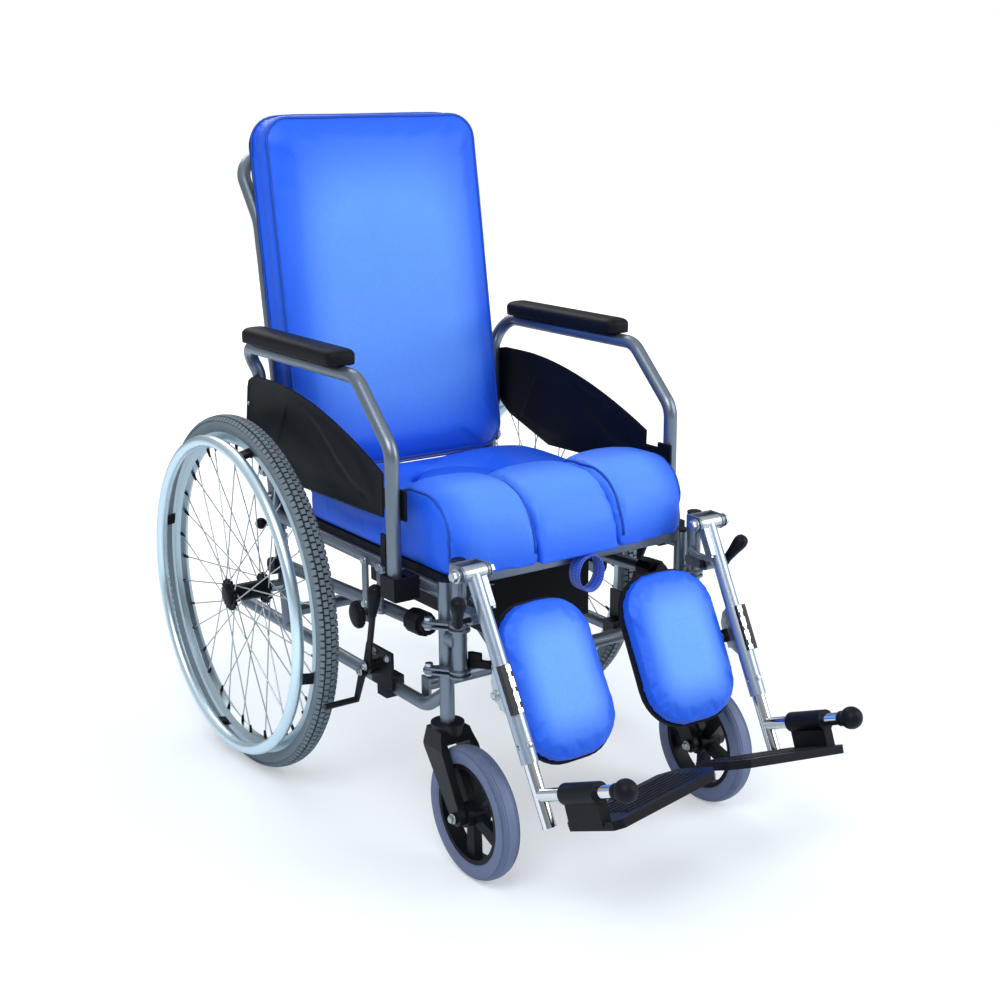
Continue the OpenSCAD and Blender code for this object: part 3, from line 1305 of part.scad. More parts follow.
module footplate(s) color(black) at_legrest(s) at_foot() difference() {
    slope = tan(plate_rise);
    inner = plate_inner - rail_x;
    union() {
        rod([0, -block_start, 0], [0, -block_start - block_len, 0], block_d);
        box([-block_d / 4, -block_start - block_len + over, -footplate_drop - footplate_t / 2],
            [block_d / 4, -block_start - over, 0]);
        translate([footplate_out, 0, -footplate_drop]) rotate([0, plate_rise, 0]) {
            translate([0, 0, -footplate_t]) linear_extrude(footplate_t)
                polygon([
                    [0, -footplate_start - footplate_chamfer / 2], [-footplate_chamfer / 2, -footplate_start],
                    [inner + footplate_chamfer - footplate_out, -footplate_start],
                    [inner - footplate_out, -footplate_start - footplate_chamfer],
                    [inner - footplate_out, -footplate_start - plate_depth + footplate_chamfer],
                    [inner + footplate_chamfer - footplate_out, -footplate_start - plate_depth],
                    [-footplate_chamfer / 2, -footplate_start - plate_depth],
                    [0, -footplate_start - plate_depth + footplate_chamfer / 2]
                ]);
            pitch = (plate_depth - 2 * footplate_chamfer) / (rib_count - 1);
            for (i = [0 : rib_count - 1])
                box([inner + footplate_chamfer - footplate_out,
                    -footplate_start - footplate_chamfer - i * pitch - rib_w / 2, 0],
                    [-footplate_chamfer - block_d / 2,
                        -footplate_start - footplate_chamfer - i * pitch + rib_w / 2, rib_h]);
        }
    }
    rod([0, -block_start + over, 0], [0, -block_start - block_len - over, 0], foot_cross_d + shaft_room);
}

// Brakes

function shoe_spot() =
    let (r = rear_wheel_d / 2 + brake_gap + shoe_bar_d / 2)
        [axle_y - r * cos(shoe_sink), axle_z - r * sin(shoe_sink)];

module side_brake_bracket() difference() {
    y = fore(brake_ahead);
    pivots = [[y + brake_pin_d, brake_z], [y + brake_pin_d + shoe_shift, brake_z - shoe_drop]];
    pin_end = lever_layer + lever_plate_t + gap;
    outer_x = lever_layer - gap - outer_plate_t;
    union() {
        box([rail_inner - clamp_wall, y - clamp_len / 2, lower_rail_z - tube_d / 2 - clamp_wall],
            [rail_face + clamp_wall, y + clamp_len / 2, lower_rail_z + tube_d / 2 + clamp_wall]);
        box([rail_face + run, y - brake_plate_len / 2, lower_rail_z],
            [rail_face + run + brake_plate_t, y + brake_plate_len / 2, brake_z + brake_plate_h / 2]);
        // Outer plate on its stand-offs, and the two pivots
        slab(outer_x, outer_x + outer_plate_t)
            link2d(pivots[0], standoff_d / 2 + cap_swell, pivots[1], standoff_d / 2 + cap_swell);
        for (q = pivots) {
            xpin(rail_face + brake_plate_t / 2, outer_x + outer_plate_t / 2, q[0], q[1], standoff_d);
            xpin(outer_x, pin_end, q[0], q[1], brake_pin_d);
            xpin(pin_end, pin_end + bolt_head_t / 2, q[0], q[1], brake_pin_d + head_flange);
        }
    }
    rod([rail_x, y - clamp_len, lower_rail_z], [rail_x, y + 2 * clamp_len, lower_rail_z],
        rail_d + shaft_room);
}

module brake_brackets() color(dark) for (k = [-1, 1]) side(k) side_brake_bracket();

module brake_lever(s) color(black) side(s) difference() {
    y = fore(brake_ahead) + brake_pin_d;
    top = [grip_x, y - 1.75 * grip_d, brake_z + brake_lever_len];
    knee = [lever_layer + lever_plate_t / 2, y - brake_pin_d, brake_z + brake_plate_h * 0.62];
    along = unit(top - knee);
    union() {
        slab(lever_layer, lever_layer + lever_plate_t)
            link2d([y, brake_z], brake_pin_d * 1.2, [knee.y, brake_z + brake_plate_h * 0.7],
                brake_pin_d * 0.9);
        rod(knee, top - along * grip_len / 2, shoe_bar_d);
        translate(top - along * grip_len)
            rotate([0, acos(along.z), atan2(along.y, along.x)])
                cylinder(h = grip_len, d1 = grip_foot_d, d2 = grip_d);
        translate(top) sphere(d = grip_d + bend_swell);
    }
    xpin(lever_layer - over, lever_layer + lever_plate_t + over, y, brake_z, brake_pin_d + shaft_room);
}

module brake_shoe(s) color(dark) side(s) difference() {
    spot = shoe_spot();
    y = fore(brake_ahead) + brake_pin_d + shoe_shift;
    z = brake_z - shoe_drop;
    union() {
        slab(lever_layer, lever_layer + lever_plate_t)
            link2d([y, z], brake_pin_d, spot, shoe_bar_d / 2 + run);
        xpin(lever_layer, shoe_bar_end, spot.x, spot.y, shoe_bar_d);
    }
    xpin(lever_layer - over, lever_layer + lever_plate_t + over, y, z, brake_pin_d + shaft_room);
}

module hand_knob(s) color(black) side(s) difference() {
    y = fore(knob_plate_ahead);
    xpin(rail_face + gap, rail_face + gap + hand_knob_t, y, knob_axis_z, hand_knob_d);
    xpin(rail_x, rail_face + knob_stud_len + gap, y, knob_axis_z, knob_stud_d + shaft_room);
}

side_frame(-1);  // side_frame_right
side_frame(1);  // side_frame_left
cross_members();
frame_fittings();
frame_fasteners();
seat_board();
seat_cushion();
brake_brackets();
seat_plug();
pull_strap();
pan();
rear_tyre(-1);  // rear_tyre_right
rear_rim(-1);  // rear_rim_right
rear_hub(-1);  // rear_hub_right
handrim(-1);  // handrim_right
rear_tyre(1);  // rear_tyre_left
rear_rim(1);  // rear_rim_left
rear_hub(1);  // rear_hub_left
handrim(1);  // handrim_left
caster_fork(-1);  // caster_fork_right
caster_tyre(-1);  // caster_tyre_right
caster_centre(-1);  // caster_centre_right
caster_fork(1);  // caster_fork_left
caster_tyre(1);  // caster_tyre_left
caster_centre(1);  // caster_centre_left
back_frame();
back_pad();
back_board();
recline_plunger(-1);  // recline_plunger_right
recline_plunger(1);  // recline_plunger_left
armrest_tube(-1);  // armrest_tube_right
armrest_pad(-1);  // armrest_pad_right
armrest_panel(-1);  // armrest_panel_right
armrest_latch(-1);  // armrest_latch_right
armrest_tube(1);  // armrest_tube_left
armrest_pad(1);  // armrest_pad_left
armrest_panel(1);  // armrest_panel_left
armrest_latch(1);  // armrest_latch_left
legrest_hanger(-1);  // legrest_hanger_right
swing_latch(-1);  // swing_latch_right
leg_tube(-1);  // leg_tube_right
calf_pad(-1);  // calf_pad_right
calf_backing(-1);  // calf_backing_right
elevation_lever(-1);  // elevation_lever_right
foot_tube(-1);  // foot_tube_right
footplate(-1);  // footplate_right
legrest_hanger(1);  // legrest_hanger_left
swing_latch(1);  // swing_latch_left
leg_tube(1);  // leg_tube_left
calf_pad(1);  // calf_pad_left
calf_backing(1);  // calf_backing_left
elevation_lever(1);  // elevation_lever_left
foot_tube(1);  // foot_tube_left
footplate(1);  // footplate_left
brake_lever(-1);  // brake_lever_right
brake_shoe(-1);  // brake_shoe_right
brake_lever(1);  // brake_lever_left
brake_shoe(1);  // brake_shoe_left
hand_knob(-1);  // hand_knob_right
hand_knob(1);  // hand_knob_left
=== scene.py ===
"""Finish of the commode chair: upholstery, tyres, grips, fasteners and every material."""

import math

import bmesh
import bpy
import numpy as np
from bpy.props import FloatProperty, FloatVectorProperty, IntProperty, PointerProperty
from bpy.types import Operator, Panel, PropertyGroup
from mathutils import Matrix, Vector
from mathutils.bvhtree import BVHTree


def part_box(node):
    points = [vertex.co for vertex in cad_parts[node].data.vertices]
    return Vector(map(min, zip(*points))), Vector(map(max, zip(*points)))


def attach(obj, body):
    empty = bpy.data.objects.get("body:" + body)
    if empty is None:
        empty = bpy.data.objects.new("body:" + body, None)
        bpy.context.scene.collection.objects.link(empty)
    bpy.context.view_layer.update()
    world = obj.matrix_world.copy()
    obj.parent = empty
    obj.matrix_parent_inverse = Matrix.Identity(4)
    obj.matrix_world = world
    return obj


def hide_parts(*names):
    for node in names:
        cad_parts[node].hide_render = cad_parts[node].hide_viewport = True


bl_info = {
    "name": "Commode chair finish",
    "version": (1, 0, 0),
    "blender": (4, 5, 0),
    "location": "View3D > Sidebar > Chair",
    "description": "Dresses the packed commode chair with upholstery, tyres, grips and finishes",
    "category": "Object",
}

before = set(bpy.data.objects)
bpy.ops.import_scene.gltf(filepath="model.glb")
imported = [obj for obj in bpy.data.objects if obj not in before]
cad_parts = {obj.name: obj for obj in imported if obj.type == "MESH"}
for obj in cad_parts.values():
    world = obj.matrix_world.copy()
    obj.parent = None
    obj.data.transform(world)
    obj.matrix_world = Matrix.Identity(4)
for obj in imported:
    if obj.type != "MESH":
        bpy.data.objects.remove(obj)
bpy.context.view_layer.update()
SIDES = ((1, "left"), (-1, "right"))
MM = 0.001

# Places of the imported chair, in millimetres, as its source gives them
REAR_R, REAR_TRACK = 300, 598
RIM_IN_R, SPOKES = 254, 36
HANDRIM_R, HANDRIM_TUBE, HANDRIM_OUT = 261, 19, 38
HUB_LEN, HUB_INSET, FLANGE_R = 68, 3, 23.5
CASTER_R, CASTER_AHEAD = 100, 576
RAIL_X, TUBE, POST_BEHIND = 223, 22, 3
UPRIGHT_AHEAD, UPRIGHT_TOP = 508, 439
BACK_TILT, BACK_HINGE_Z, BACK_W, BACK_H, BACK_LOW = 8.5, 450, 428, 607, 25
BACK_PAD_V, BACK_T, BACK_CORNER = 23.3, 60, 54
SEAT_W, SEAT_Z, INSERT_HALF = 450, 439.8, 75
ARM_Z, ARM_AHEAD, ARM_HINGE_Z, PANEL_X = 711, 432, 496, 248.4
PIN_X, PIN_AHEAD, TOE = 250, 503, 2.5
HANGER_AHEAD, PIVOT_AHEAD, PIVOT_Z, LEG_TILT = 542, 576, 464, 28
LEG_LEN, FOOT_RISE, FOOT_REACH = 320, 22, 189
CALF_W, CALF_L, CALF_MID, CALF_EDGE = 166, 234, 173, -19
BRAKE_AHEAD, BRAKE_Z, LEVER_X = 346, 262, 257
KNOB_AHEAD, KNOB_Z = 276, 323

# Section of the rear tyre's tread: middle and radius of its round, and the radius where its grooves begin
TREAD_RING_R, TREAD_ROUND, GROOVE_R = 283.5, 15.0, 289.5

# The camera that fits the photograph, in metres and in shares of the picture
CAMERA_PLACE = (-1.3826, -2.0206, 1.1229)
CAMERA_SHIFT_SHARES = (-0.0073, -0.0014)
FLOOR_RADIUS = 9

# Cloth of a cushion's cover, and the steps of time that it is blown up over
COVER = {
    "quality": 4,
    "mass": 0.3,
    "tension_stiffness": 18,
    "compression_stiffness": 18,
    "shear_stiffness": 8,
    "bending_stiffness": 0.6,
    "use_pressure": True,
    "uniform_pressure_force": 4.0,
    "vertex_group_mass": "held",
}
STUFFING_STEPS = 20

rear_low, rear_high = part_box("rear_tyre_left")
AXLE_Y = (rear_low.y + rear_high.y) / 2 / MM


def fore(ahead):
    """Place along Y, in millimetres, of a distance ahead of the rear axle."""
    return AXLE_Y - ahead


def post_y(z):
    """Place along Y, in millimetres, of the leaning rear posts at a height."""
    return fore(-POST_BEHIND) + (z - REAR_R) * math.tan(math.radians(BACK_TILT))


def shift(x, y, z):
    return Matrix.Translation((x * MM, y * MM, z * MM))


def turn(degrees, axis):
    return Matrix.Rotation(math.radians(degrees), 4, axis)


def mirrored(s):
    return Matrix.Scale(-1, 4, (1, 0, 0)) if s < 0 else Matrix.Identity(4)


# Places of the parts' own axes, on the left for s = 1 and on the right for s = -1


def at_rear_wheel(s):
    return mirrored(s) @ shift(REAR_TRACK / 2, AXLE_Y, REAR_R) @ turn(90, "Y")


def at_caster(s):
    return mirrored(s) @ shift(RAIL_X, fore(CASTER_AHEAD), CASTER_R) @ turn(90, "Y")


def at_back():
    return shift(0, post_y(BACK_HINGE_Z), BACK_HINGE_Z) @ turn(-BACK_TILT, "X")


def at_legrest(s):
    pin = shift(PIN_X, fore(PIN_AHEAD), 0)
    return mirrored(s) @ pin @ turn(-TOE, "Z") @ pin.inverted()


def at_leg(s):
    return at_legrest(s) @ shift(RAIL_X, fore(PIVOT_AHEAD), PIVOT_Z) @ turn(-LEG_TILT, "X")


def at_foot(s):
    return at_leg(s) @ shift(0, 0, -LEG_LEN) @ turn(LEG_TILT - FOOT_RISE, "X")


def pointing(place, direction):
    """Matrix whose Z axis points along a direction, at a place in millimetres."""
    way = Vector(direction).normalized()
    return shift(*place) @ way.to_track_quat("Z", "Y").to_matrix().to_4x4()


def colour_setting(name, description, default):
    return FloatVectorProperty(name=name, description=description, subtype="COLOR", default=default)


class ChairColours(PropertyGroup):
    """Colours of the chair's finishes"""

    vinyl: colour_setting("Vinyl", "Upholstery of seat, back and calf pads", (0.012, 0.105, 0.80))
    webbing: colour_setting("Webbing", "Pull loop of the insert", (0.022, 0.09, 0.55))
    silver: colour_setting("Frame", "Paint of the frame tubes", (0.175, 0.21, 0.26))
    bright: colour_setting("Bright steel", "Plated tubes and bolts", (0.78, 0.79, 0.81))
    rim: colour_setting("Rims", "Anodised rims and handrims", (0.45, 0.55, 0.60))
    tyre: colour_setting("Rear tyres", "Rubber of the rear tyres", (0.150, 0.190, 0.220))
    caster: colour_setting("Caster tyres", "Rubber of the casters", (0.115, 0.145, 0.25))
    zinc: colour_setting("Zinc", "Plated brackets, bolts and screws", (0.49, 0.54, 0.56))
    black: colour_setting("Black plastic", "Moulded plastic parts", (0.0040, 0.0050, 0.0080))


def length_setting(name, description, default):
    return FloatProperty(name=name, description=description, default=default, unit="LENGTH")


class ChairSizes(PropertyGroup):
    """Sizes of the finish"""

    grain: length_setting("Vinyl grain", "Size of one pebble of the vinyl's grain", 0.0016)
    piping: length_setting("Piping", "Diameter of the piping in the seams", 0.0052)
    voxel: length_setting("Cushion mesh", "Mesh size that a cushion is stuffed at", 0.0055)
    tread_blocks: IntProperty(
        name="Tread blocks",
        description="Blocks in one row of a rear tyre's tread",
        default=164,
        min=60,
        max=200,
    )


class ChairStage(PropertyGroup):
    """Camera and light"""

    azimuth: FloatProperty(name="Azimuth", description="Turn of the camera, in degrees", default=-34.88)
    elevation: FloatProperty(name="Elevation", description="Camera's height angle, in degrees", default=14.71)
    roll: FloatProperty(name="Roll", description="Camera's roll, in degrees", default=-0.36)
    lens: FloatProperty(name="Lens", description="Focal length on a 36 mm sensor", default=56.7)
    key: FloatProperty(name="Key light", description="Power of the large front light, in watts", default=78)
    fill: FloatProperty(name="Surround", description="Strength of the light from all round", default=0.5)


def colours():
    return bpy.context.scene.chair_colours


def sizes():
    return bpy.context.scene.chair_sizes


# Shader maths


class Value:
    """A socket of a node tree, on which sums write their Math nodes."""

    def __init__(self, nodes, socket):
        self.nodes = nodes
        self.socket = socket

    def math(self, operation, *others):
        return self.nodes.node("ShaderNodeMath", {"operation": operation}, self, *others)

    def __add__(self, other):
        return self.math("ADD", other)

    __radd__ = __add__

    def __sub__(self, other):
        return self.math("SUBTRACT", other)

    def __rsub__(self, other):
        return self.nodes.node("ShaderNodeMath", {"operation": "SUBTRACT"}, other, self)

    def __mul__(self, other):
        return self.math("MULTIPLY", other)

    __rmul__ = __mul__

    def __pow__(self, other):
        return self.math("POWER", other)

    def __abs__(self):
        return self.math("ABSOLUTE")

    def sin(self):
        return self.math("SINE")

    def over(self, edge, soft):
        """From 0 to 1 as this value passes an edge, over a soft width."""
        smooth = {"interpolation_type": "SMOOTHSTEP"}
        return self.nodes.node("ShaderNodeMapRange", smooth, self, edge - soft / 2, edge + soft / 2, 0.0, 1.0)


class Nodes:
    """A node tree in the making."""

    def __init__(self, tree):
        self.tree = tree
        tree.nodes.clear()

    def put(self, node, key, value):
        target = node.inputs[key]
        if isinstance(value, Value):
            self.tree.links.new(value.socket, target)
        elif target.type == "RGBA" and len(value) == 3:
            target.default_value = (*value, 1)
        else:
            target.default_value = value

    def node(self, kind, settings=None, *values, out=0, **named):
        """One node: its settings first, then its sockets by order or by name."""
        made = self.tree.nodes.new(kind)
        for key, value in (settings or {}).items():
            setattr(made, key, value)
        for i, value in enumerate(values):
            self.put(made, i, value)
        for key, value in named.items():
            self.put(made, key.replace("_", " "), value)
        return Value(self, made.outputs[out])

    def axes(self, place):
        split = self.node("ShaderNodeSeparateXYZ", None, place)
        outs = split.socket.node.outputs
        return [Value(self, outs[i]) for i in range(3)]


class Surface(Nodes):
    """A material in the making."""

    def __init__(self, name, **flat):
        self.material = bpy.data.materials.new(name)
        self.material.use_nodes = True
        super().__init__(self.material.node_tree)
        self.output = self.tree.nodes.new("ShaderNodeOutputMaterial")
        self.shader = self.tree.nodes.new("ShaderNodeBsdfPrincipled")
        self.show(Value(self, self.shader.outputs[0]))
        for socket, value in flat.items():
            self.set(socket.replace("_", " "), value)

    def show(self, shader):
        self.put(self.output, "Surface", shader)

    def set(self, socket, value):
        self.put(self.shader, socket, value)

    def shade(self, share, colour, dark, pale):
        """Colour that runs from a dark tint to a pale one."""
        self.set("Base Color", self.blend(share, tinted(colour, dark), tinted(colour, pale)))

    def place(self):
        return self.node("ShaderNodeTexCoord", out=3)

    def uv(self):
        return self.node("ShaderNodeTexCoord", out=2)

    def noise(self, place, scale, detail=2.0, rough=0.5):
        return self.node("ShaderNodeTexNoise", Vector=place, Scale=scale, Detail=detail, Roughness=rough)

    def cells(self, place, scale):
        return self.node("ShaderNodeTexVoronoi", Vector=place, Scale=scale)

    def blend(self, factor, first, second):
        mix = self.tree.nodes.new("ShaderNodeMix")
        mix.data_type = "RGBA"
        self.put(mix, 0, factor)
        self.put(mix, 6, first)
        self.put(mix, 7, second)
        return Value(self, mix.outputs[2])

    def bump(self, height, depth, strength=1.0, under=None):
        named = {"Height": height, "Distance": depth, "Strength": strength}
        if under is not None:
            named["Normal"] = under
        return self.node("ShaderNodeBump", **named)

    def rounded(self, radius):
        return self.node("ShaderNodeBevel", {"samples": 4}, Radius=radius)

    def round_axle(self):
        """Place across the chair, and distance from the line of the rear axles."""
        x, y, z = self.axes(self.place())
        return x, ((y - AXLE_Y * MM) ** 2.0 + (z - REAR_R * MM) ** 2.0) ** 0.5


def tinted(colour, share):
    return tuple(c * share for c in colour)


def vinyl_finish(name, colour, painted_light_mask=None):
    """Grained vinyl; its last argument tells, from 0 to 1, where painted light pales it towards a lit blue.
    """
    made = Surface(name, Specular_IOR_Level=0.55, Coat_Roughness=0.3, Coat_Weight=0.04)
    made.set("Specular Tint", (0.45, 0.72, 1.0))
    place = made.place()
    cloud = made.noise(place, 7.0, 3.0)
    fleck = made.noise(place, 420.0, 1.0)
    pebble = made.cells(place, 1 / sizes().grain)
    wrinkle = made.noise(place, 34.0, 4.0, 0.55)
    deep, pale = tinted(colour, 0.82), tinted(colour, 1.12)
    base = made.blend(cloud * 0.5 + fleck * 0.5, deep, pale)
    if painted_light_mask:
        # Painted light: where the mask is high, the colour is paled towards (0.12, 0.33, 0.86), the lit blue;
        # the noise only breaks it up.
        painted_light = painted_light_mask(*made.axes(place)) * (0.55 + 0.3 * cloud + 0.4 * fleck)
        base = made.blend(painted_light, base, (0.12, 0.33, 0.86))
    made.set("Base Color", base)
    made.set("Roughness", 0.36 + 0.16 * cloud + 0.08 * fleck)
    fine = made.bump(pebble, 0.00022, 0.55)
    made.set("Normal", made.bump(wrinkle, 0.0014, 0.5, fine))
    return made.material


def within(across, along, soft):
    """From 0 at the border of a field to 1 inside it; both values run from -1 to 1 over the field."""
    far = (abs(across) ** 4.0 + abs(along) ** 4.0) ** 0.25
    return 1.0 - far.over(1 - soft / 2, soft)


def back_painted_light(x, _, z):
    """Painted light: a paler, lit-looking middle of the back cushion, more so towards its top."""
    half_w, half_h = 207, 298
    middle = BACK_HINGE_Z + (BACK_LOW + BACK_H / 2) * math.cos(math.radians(BACK_TILT))
    low = (z * 1000.0 - (BACK_HINGE_Z + BACK_LOW)).over(90, 300)
    field = within(x * (1000 / half_w), (z * 1000.0 - middle) * (1 / half_h), 0.5)
    return field * (0.35 + 0.65 * low) * 0.8


def seat_painted_light(x, y, z):
    """Painted light: a paler, lit-looking crown and front of the seat's roll."""
    half_w = 222
    rolled = (z * 1000.0).over(525, 50) * (1.0 - (z * 1000.0).over(566, 20))
    front = (z * 1000.0).over(462, 60) * (1.0 - (y * 1000.0).over(fore(440), 70))
    return (rolled * 0.35 + front * 0.35) * within(x * (1000 / half_w), x * 0.0, 0.3)


def calf_painted_light(x, y, z):
    """Painted light: a paler, lit-looking middle of both calf pads, worked out in the leg's own axes."""
    leg = at_leg(1).inverted()
    across, along = (abs(x) * leg[i][0] + y * leg[i][1] + z * leg[i][2] + leg[i][3] for i in (0, 2))
    border = 4
    across = (across * 1000.0 - (CALF_EDGE - CALF_W / 2)) * (1 / (CALF_W / 2 - border))
    along = (along * 1000.0 + CALF_MID) * (1 / (CALF_L / 2 - border))
    return within(across, along, 0.62)


def paint_finish(name, colour, metallic, rough, coat=0.18):
    made = Surface(name, Specular_IOR_Level=0.3, Coat_Roughness=0.2, Coat_Weight=coat)
    place = made.place()
    cloud = made.noise(place, 9.0, 2.0)
    flake = made.noise(place, 1400.0, 1.0)
    peel = made.noise(place, 260.0, 2.0)
    made.shade(cloud * 0.4 + flake * 0.6, colour, 0.86, 1.14)
    made.set("Metallic", metallic)
    made.set("Roughness", rough + 0.1 * flake)
    made.set("Normal", made.bump(peel, 0.00012, 0.4, made.rounded(0.0012)))
    return made.material


def plate_finish(name, colour, rough):
    made = Surface(name, Metallic=1.0)
    place = made.place()
    cloud = made.noise(place, 14.0, 3.0)
    drawn = made.node("ShaderNodeMapping", Vector=place, Scale=Vector((900.0, 900.0, 60.0)))
    scratch = made.noise(drawn, 1.0, 2.0)
    made.shade(cloud, colour, 0.90, 1.06)
    made.set("Roughness", rough + 0.10 * scratch + 0.06 * cloud)
    made.set("Normal", made.bump(scratch, 0.00005, 0.3, made.rounded(0.0008)))
    return made.material


def plastic_finish(name, colour, rough, depth=0.00018):
    made = Surface(name, Specular_IOR_Level=0.13)
    place = made.place()
    cloud = made.noise(place, 12.0, 3.0)
    spark = made.noise(place, 1100.0, 2.0)
    made.shade(cloud, colour, 0.75, 1.45)
    made.set("Roughness", rough + 0.12 * cloud)
    made.set("Normal", made.bump(spark, depth, 0.5, made.rounded(0.0012)))
    return made.material


def tread_groove_shade(made):
    """Painted shade in the grooves of the rear tyres' tread: from 0 to 1, how deep in them a point lies."""
    x, radius = made.round_axle()
    across = abs(x) - REAR_TRACK / 2 * MM
    height = ((radius - TREAD_RING_R * MM) ** 2.0 + across**2.0) ** 0.5
    return (1.0 - height.over(TREAD_ROUND * MM, 0.0012)) * radius.over(GROOVE_R * MM, 0.002)


def rubber_finish(name, colour, rough, dark=None):
    """Dusty rubber; its last argument tells, from 0 to 1, where painted shade makes it nearly black."""
    made = Surface(name, Specular_IOR_Level=0.4)
    place = made.place()
    dust = made.noise(place, 40.0, 4.0, 0.6)
    fine = made.noise(place, 900.0, 2.0)
    base = made.blend(dust, tinted(colour, 0.80), tinted(colour, 1.22))
    if dark:
        # Painted shade: the rubber turns nearly black down in the tread's grooves.
        base = made.blend(dark(made), base, tinted(colour, 0.12))
    made.set("Base Color", base)
    made.set("Roughness", rough + 0.18 * dust)
    made.set("Normal", made.bump(fine, 0.00014, 0.5))
    return made.material


def wheel_metal_finish(name, colour, rough):
    """Anodised metal turned round the rear axle."""
    made = Surface(name, Metallic=1.0)
    radius = made.round_axle()[1]
    turned = (radius * 9000.0).sin() * 0.5 + 0.5
    cloud = made.noise(made.place(), 10.0, 2.0)
    made.shade(cloud, colour, 0.90, 1.06)
    made.set("Roughness", rough + 0.10 * cloud + 0.05 * turned)
    made.set("Normal", made.bump(turned, 0.00003, 0.3, made.rounded(0.0008)))
    return made.material


def two_finishes(name, inner, outer, mask_of):
    """Mixes two finished materials by a mask over the same surface."""
    made = Surface(name)
    made.tree.nodes.remove(made.shader)
    parts = []
    for source in (inner, outer):
        copies = {}
        for old in source.node_tree.nodes:
            if old.type == "OUTPUT_MATERIAL":
                continue
            new = made.tree.nodes.new(old.bl_idname)
            for prop in ("operation", "interpolation_type", "feature", "data_type", "samples"):
                if hasattr(old, prop):
                    setattr(new, prop, getattr(old, prop))
            for a, b in zip(old.inputs, new.inputs):
                if hasattr(a, "default_value"):
                    b.default_value = a.default_value
            copies[old] = new
        for link in source.node_tree.links:
            if link.to_node in copies:
                origin = copies[link.from_node]
                out = origin.outputs[list(link.from_node.outputs).index(link.from_socket)]
                into = copies[link.to_node].inputs[list(link.to_node.inputs).index(link.to_socket)]
                made.tree.links.new(out, into)
        shaders = [new for old, new in copies.items() if old.type == "BSDF_PRINCIPLED"]
        parts += [Value(made, shader.outputs[0]) for shader in shaders]
    made.show(made.node("ShaderNodeMixShader", None, mask_of(made), *parts))
    return made.material


def webbing_finish(name, colour):
    made = Surface(name, Sheen_Weight=0.3, Sheen_Roughness=0.5)
    u, v, _ = made.axes(made.uv())
    warp = (u * 2200.0).sin() * 0.5 + 0.5
    weft = (v * 2600.0).sin() * 0.5 + 0.5
    seams = sum((1.0 - abs(u - at).over(0.0009, 0.0008)) for at in (0.0045, 0.0125, 0.0205))
    dashes = (v * 1400.0).sin().over(0.1, 0.3)
    made.shade(seams * dashes, colour, 0.9, 2.6)
    made.set("Roughness", 0.62 + 0.15 * warp)
    made.set("Normal", made.bump(warp * weft + seams * dashes, 0.0003, 0.8))
    return made.material


# Finishes by name: slot, maker, colour of the settings, share of it, and what else the maker takes
FINISHES = {
    "blue_vinyl": ("vinyl_blue", vinyl_finish, "vinyl", 1),
    # The back, seat and calf vinyls carry painted light: paler middles, crowns and fronts where light falls.
    "back_vinyl": ("vinyl_blue", vinyl_finish, "vinyl", 1, back_painted_light),
    "seat_vinyl": ("vinyl_blue", vinyl_finish, "vinyl", 1, seat_painted_light),
    "calf_vinyl": ("vinyl_blue", vinyl_finish, "vinyl", 1, calf_painted_light),
    "blue_piping": ("vinyl_blue", vinyl_finish, "vinyl", 0.5),
    "blue_webbing": ("webbing_blue", webbing_finish, "webbing", 1),
    "silver_paint": ("frame_silver", paint_finish, "silver", 1, 0.82, 0.30),
    "leg_paint": ("frame_silver", paint_finish, "silver", 2.1, 0.82, 0.28),
    "handrim_metal": ("rim_silver", wheel_metal_finish, "rim", 1.55, 0.24),
    "rim_metal": ("rim_silver", wheel_metal_finish, "rim", 1, 0.24),
    "bright_steel": ("bright_steel", plate_finish, "bright", 1, 0.10),
    "zinc_steel": ("bright_steel", plate_finish, "zinc", 1, 0.24),
    "rear_rubber": ("tyre_grey", rubber_finish, "tyre", 1, 0.62, tread_groove_shade),
    "caster_rubber": ("tyre_grey", rubber_finish, "caster", 1, 0.42),
    "black_plastic": ("plastic_black", plastic_finish, "black", 1, 0.36),
    "black_paint": ("steel_black", paint_finish, "black", 0.9, 0.0, 0.34, 0.0),
    "black_foam": ("pad_black", plastic_finish, "black", 0.8, 0.46, 0.0003),
    "board_black": ("board_dark", plastic_finish, "black", 1.8, 0.62, 0.0004),
    "panel_black": ("plastic_black", plastic_finish, "black", 0.9, 0.42, 0.0003),
}


def finish(name):
    """A finish of the chair by name, made once."""
    found = bpy.data.materials.get(name)
    if found:
        return found
    _, maker, key, share, *more = FINISHES[name]
    return maker(name, tinted(getattr(colours(), key), share), *more)


# Making pieces


def make_piece(name, mesh_data, look, body):
    """An object at the origin from a bmesh, with its finish and the body that it rides on."""
    bmesh.ops.remove_doubles(mesh_data, verts=mesh_data.verts, dist=1e-6)
    bmesh.ops.recalc_face_normals(mesh_data, faces=mesh_data.faces)
    data = bpy.data.meshes.new(name)
    for face in mesh_data.faces:
        face.smooth = True
    mesh_data.to_mesh(data)
    mesh_data.free()
    made = bpy.data.objects.new(name, data)
    bpy.context.scene.collection.objects.link(made)
    data.materials.append(finish(look))
    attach(made, body)
    return made


def sharpen(obj, degrees=38):
    """Marks the edges above an angle sharp, so that smooth shading keeps them."""
    obj.data.set_sharp_from_angle(angle=math.radians(degrees))
    return obj


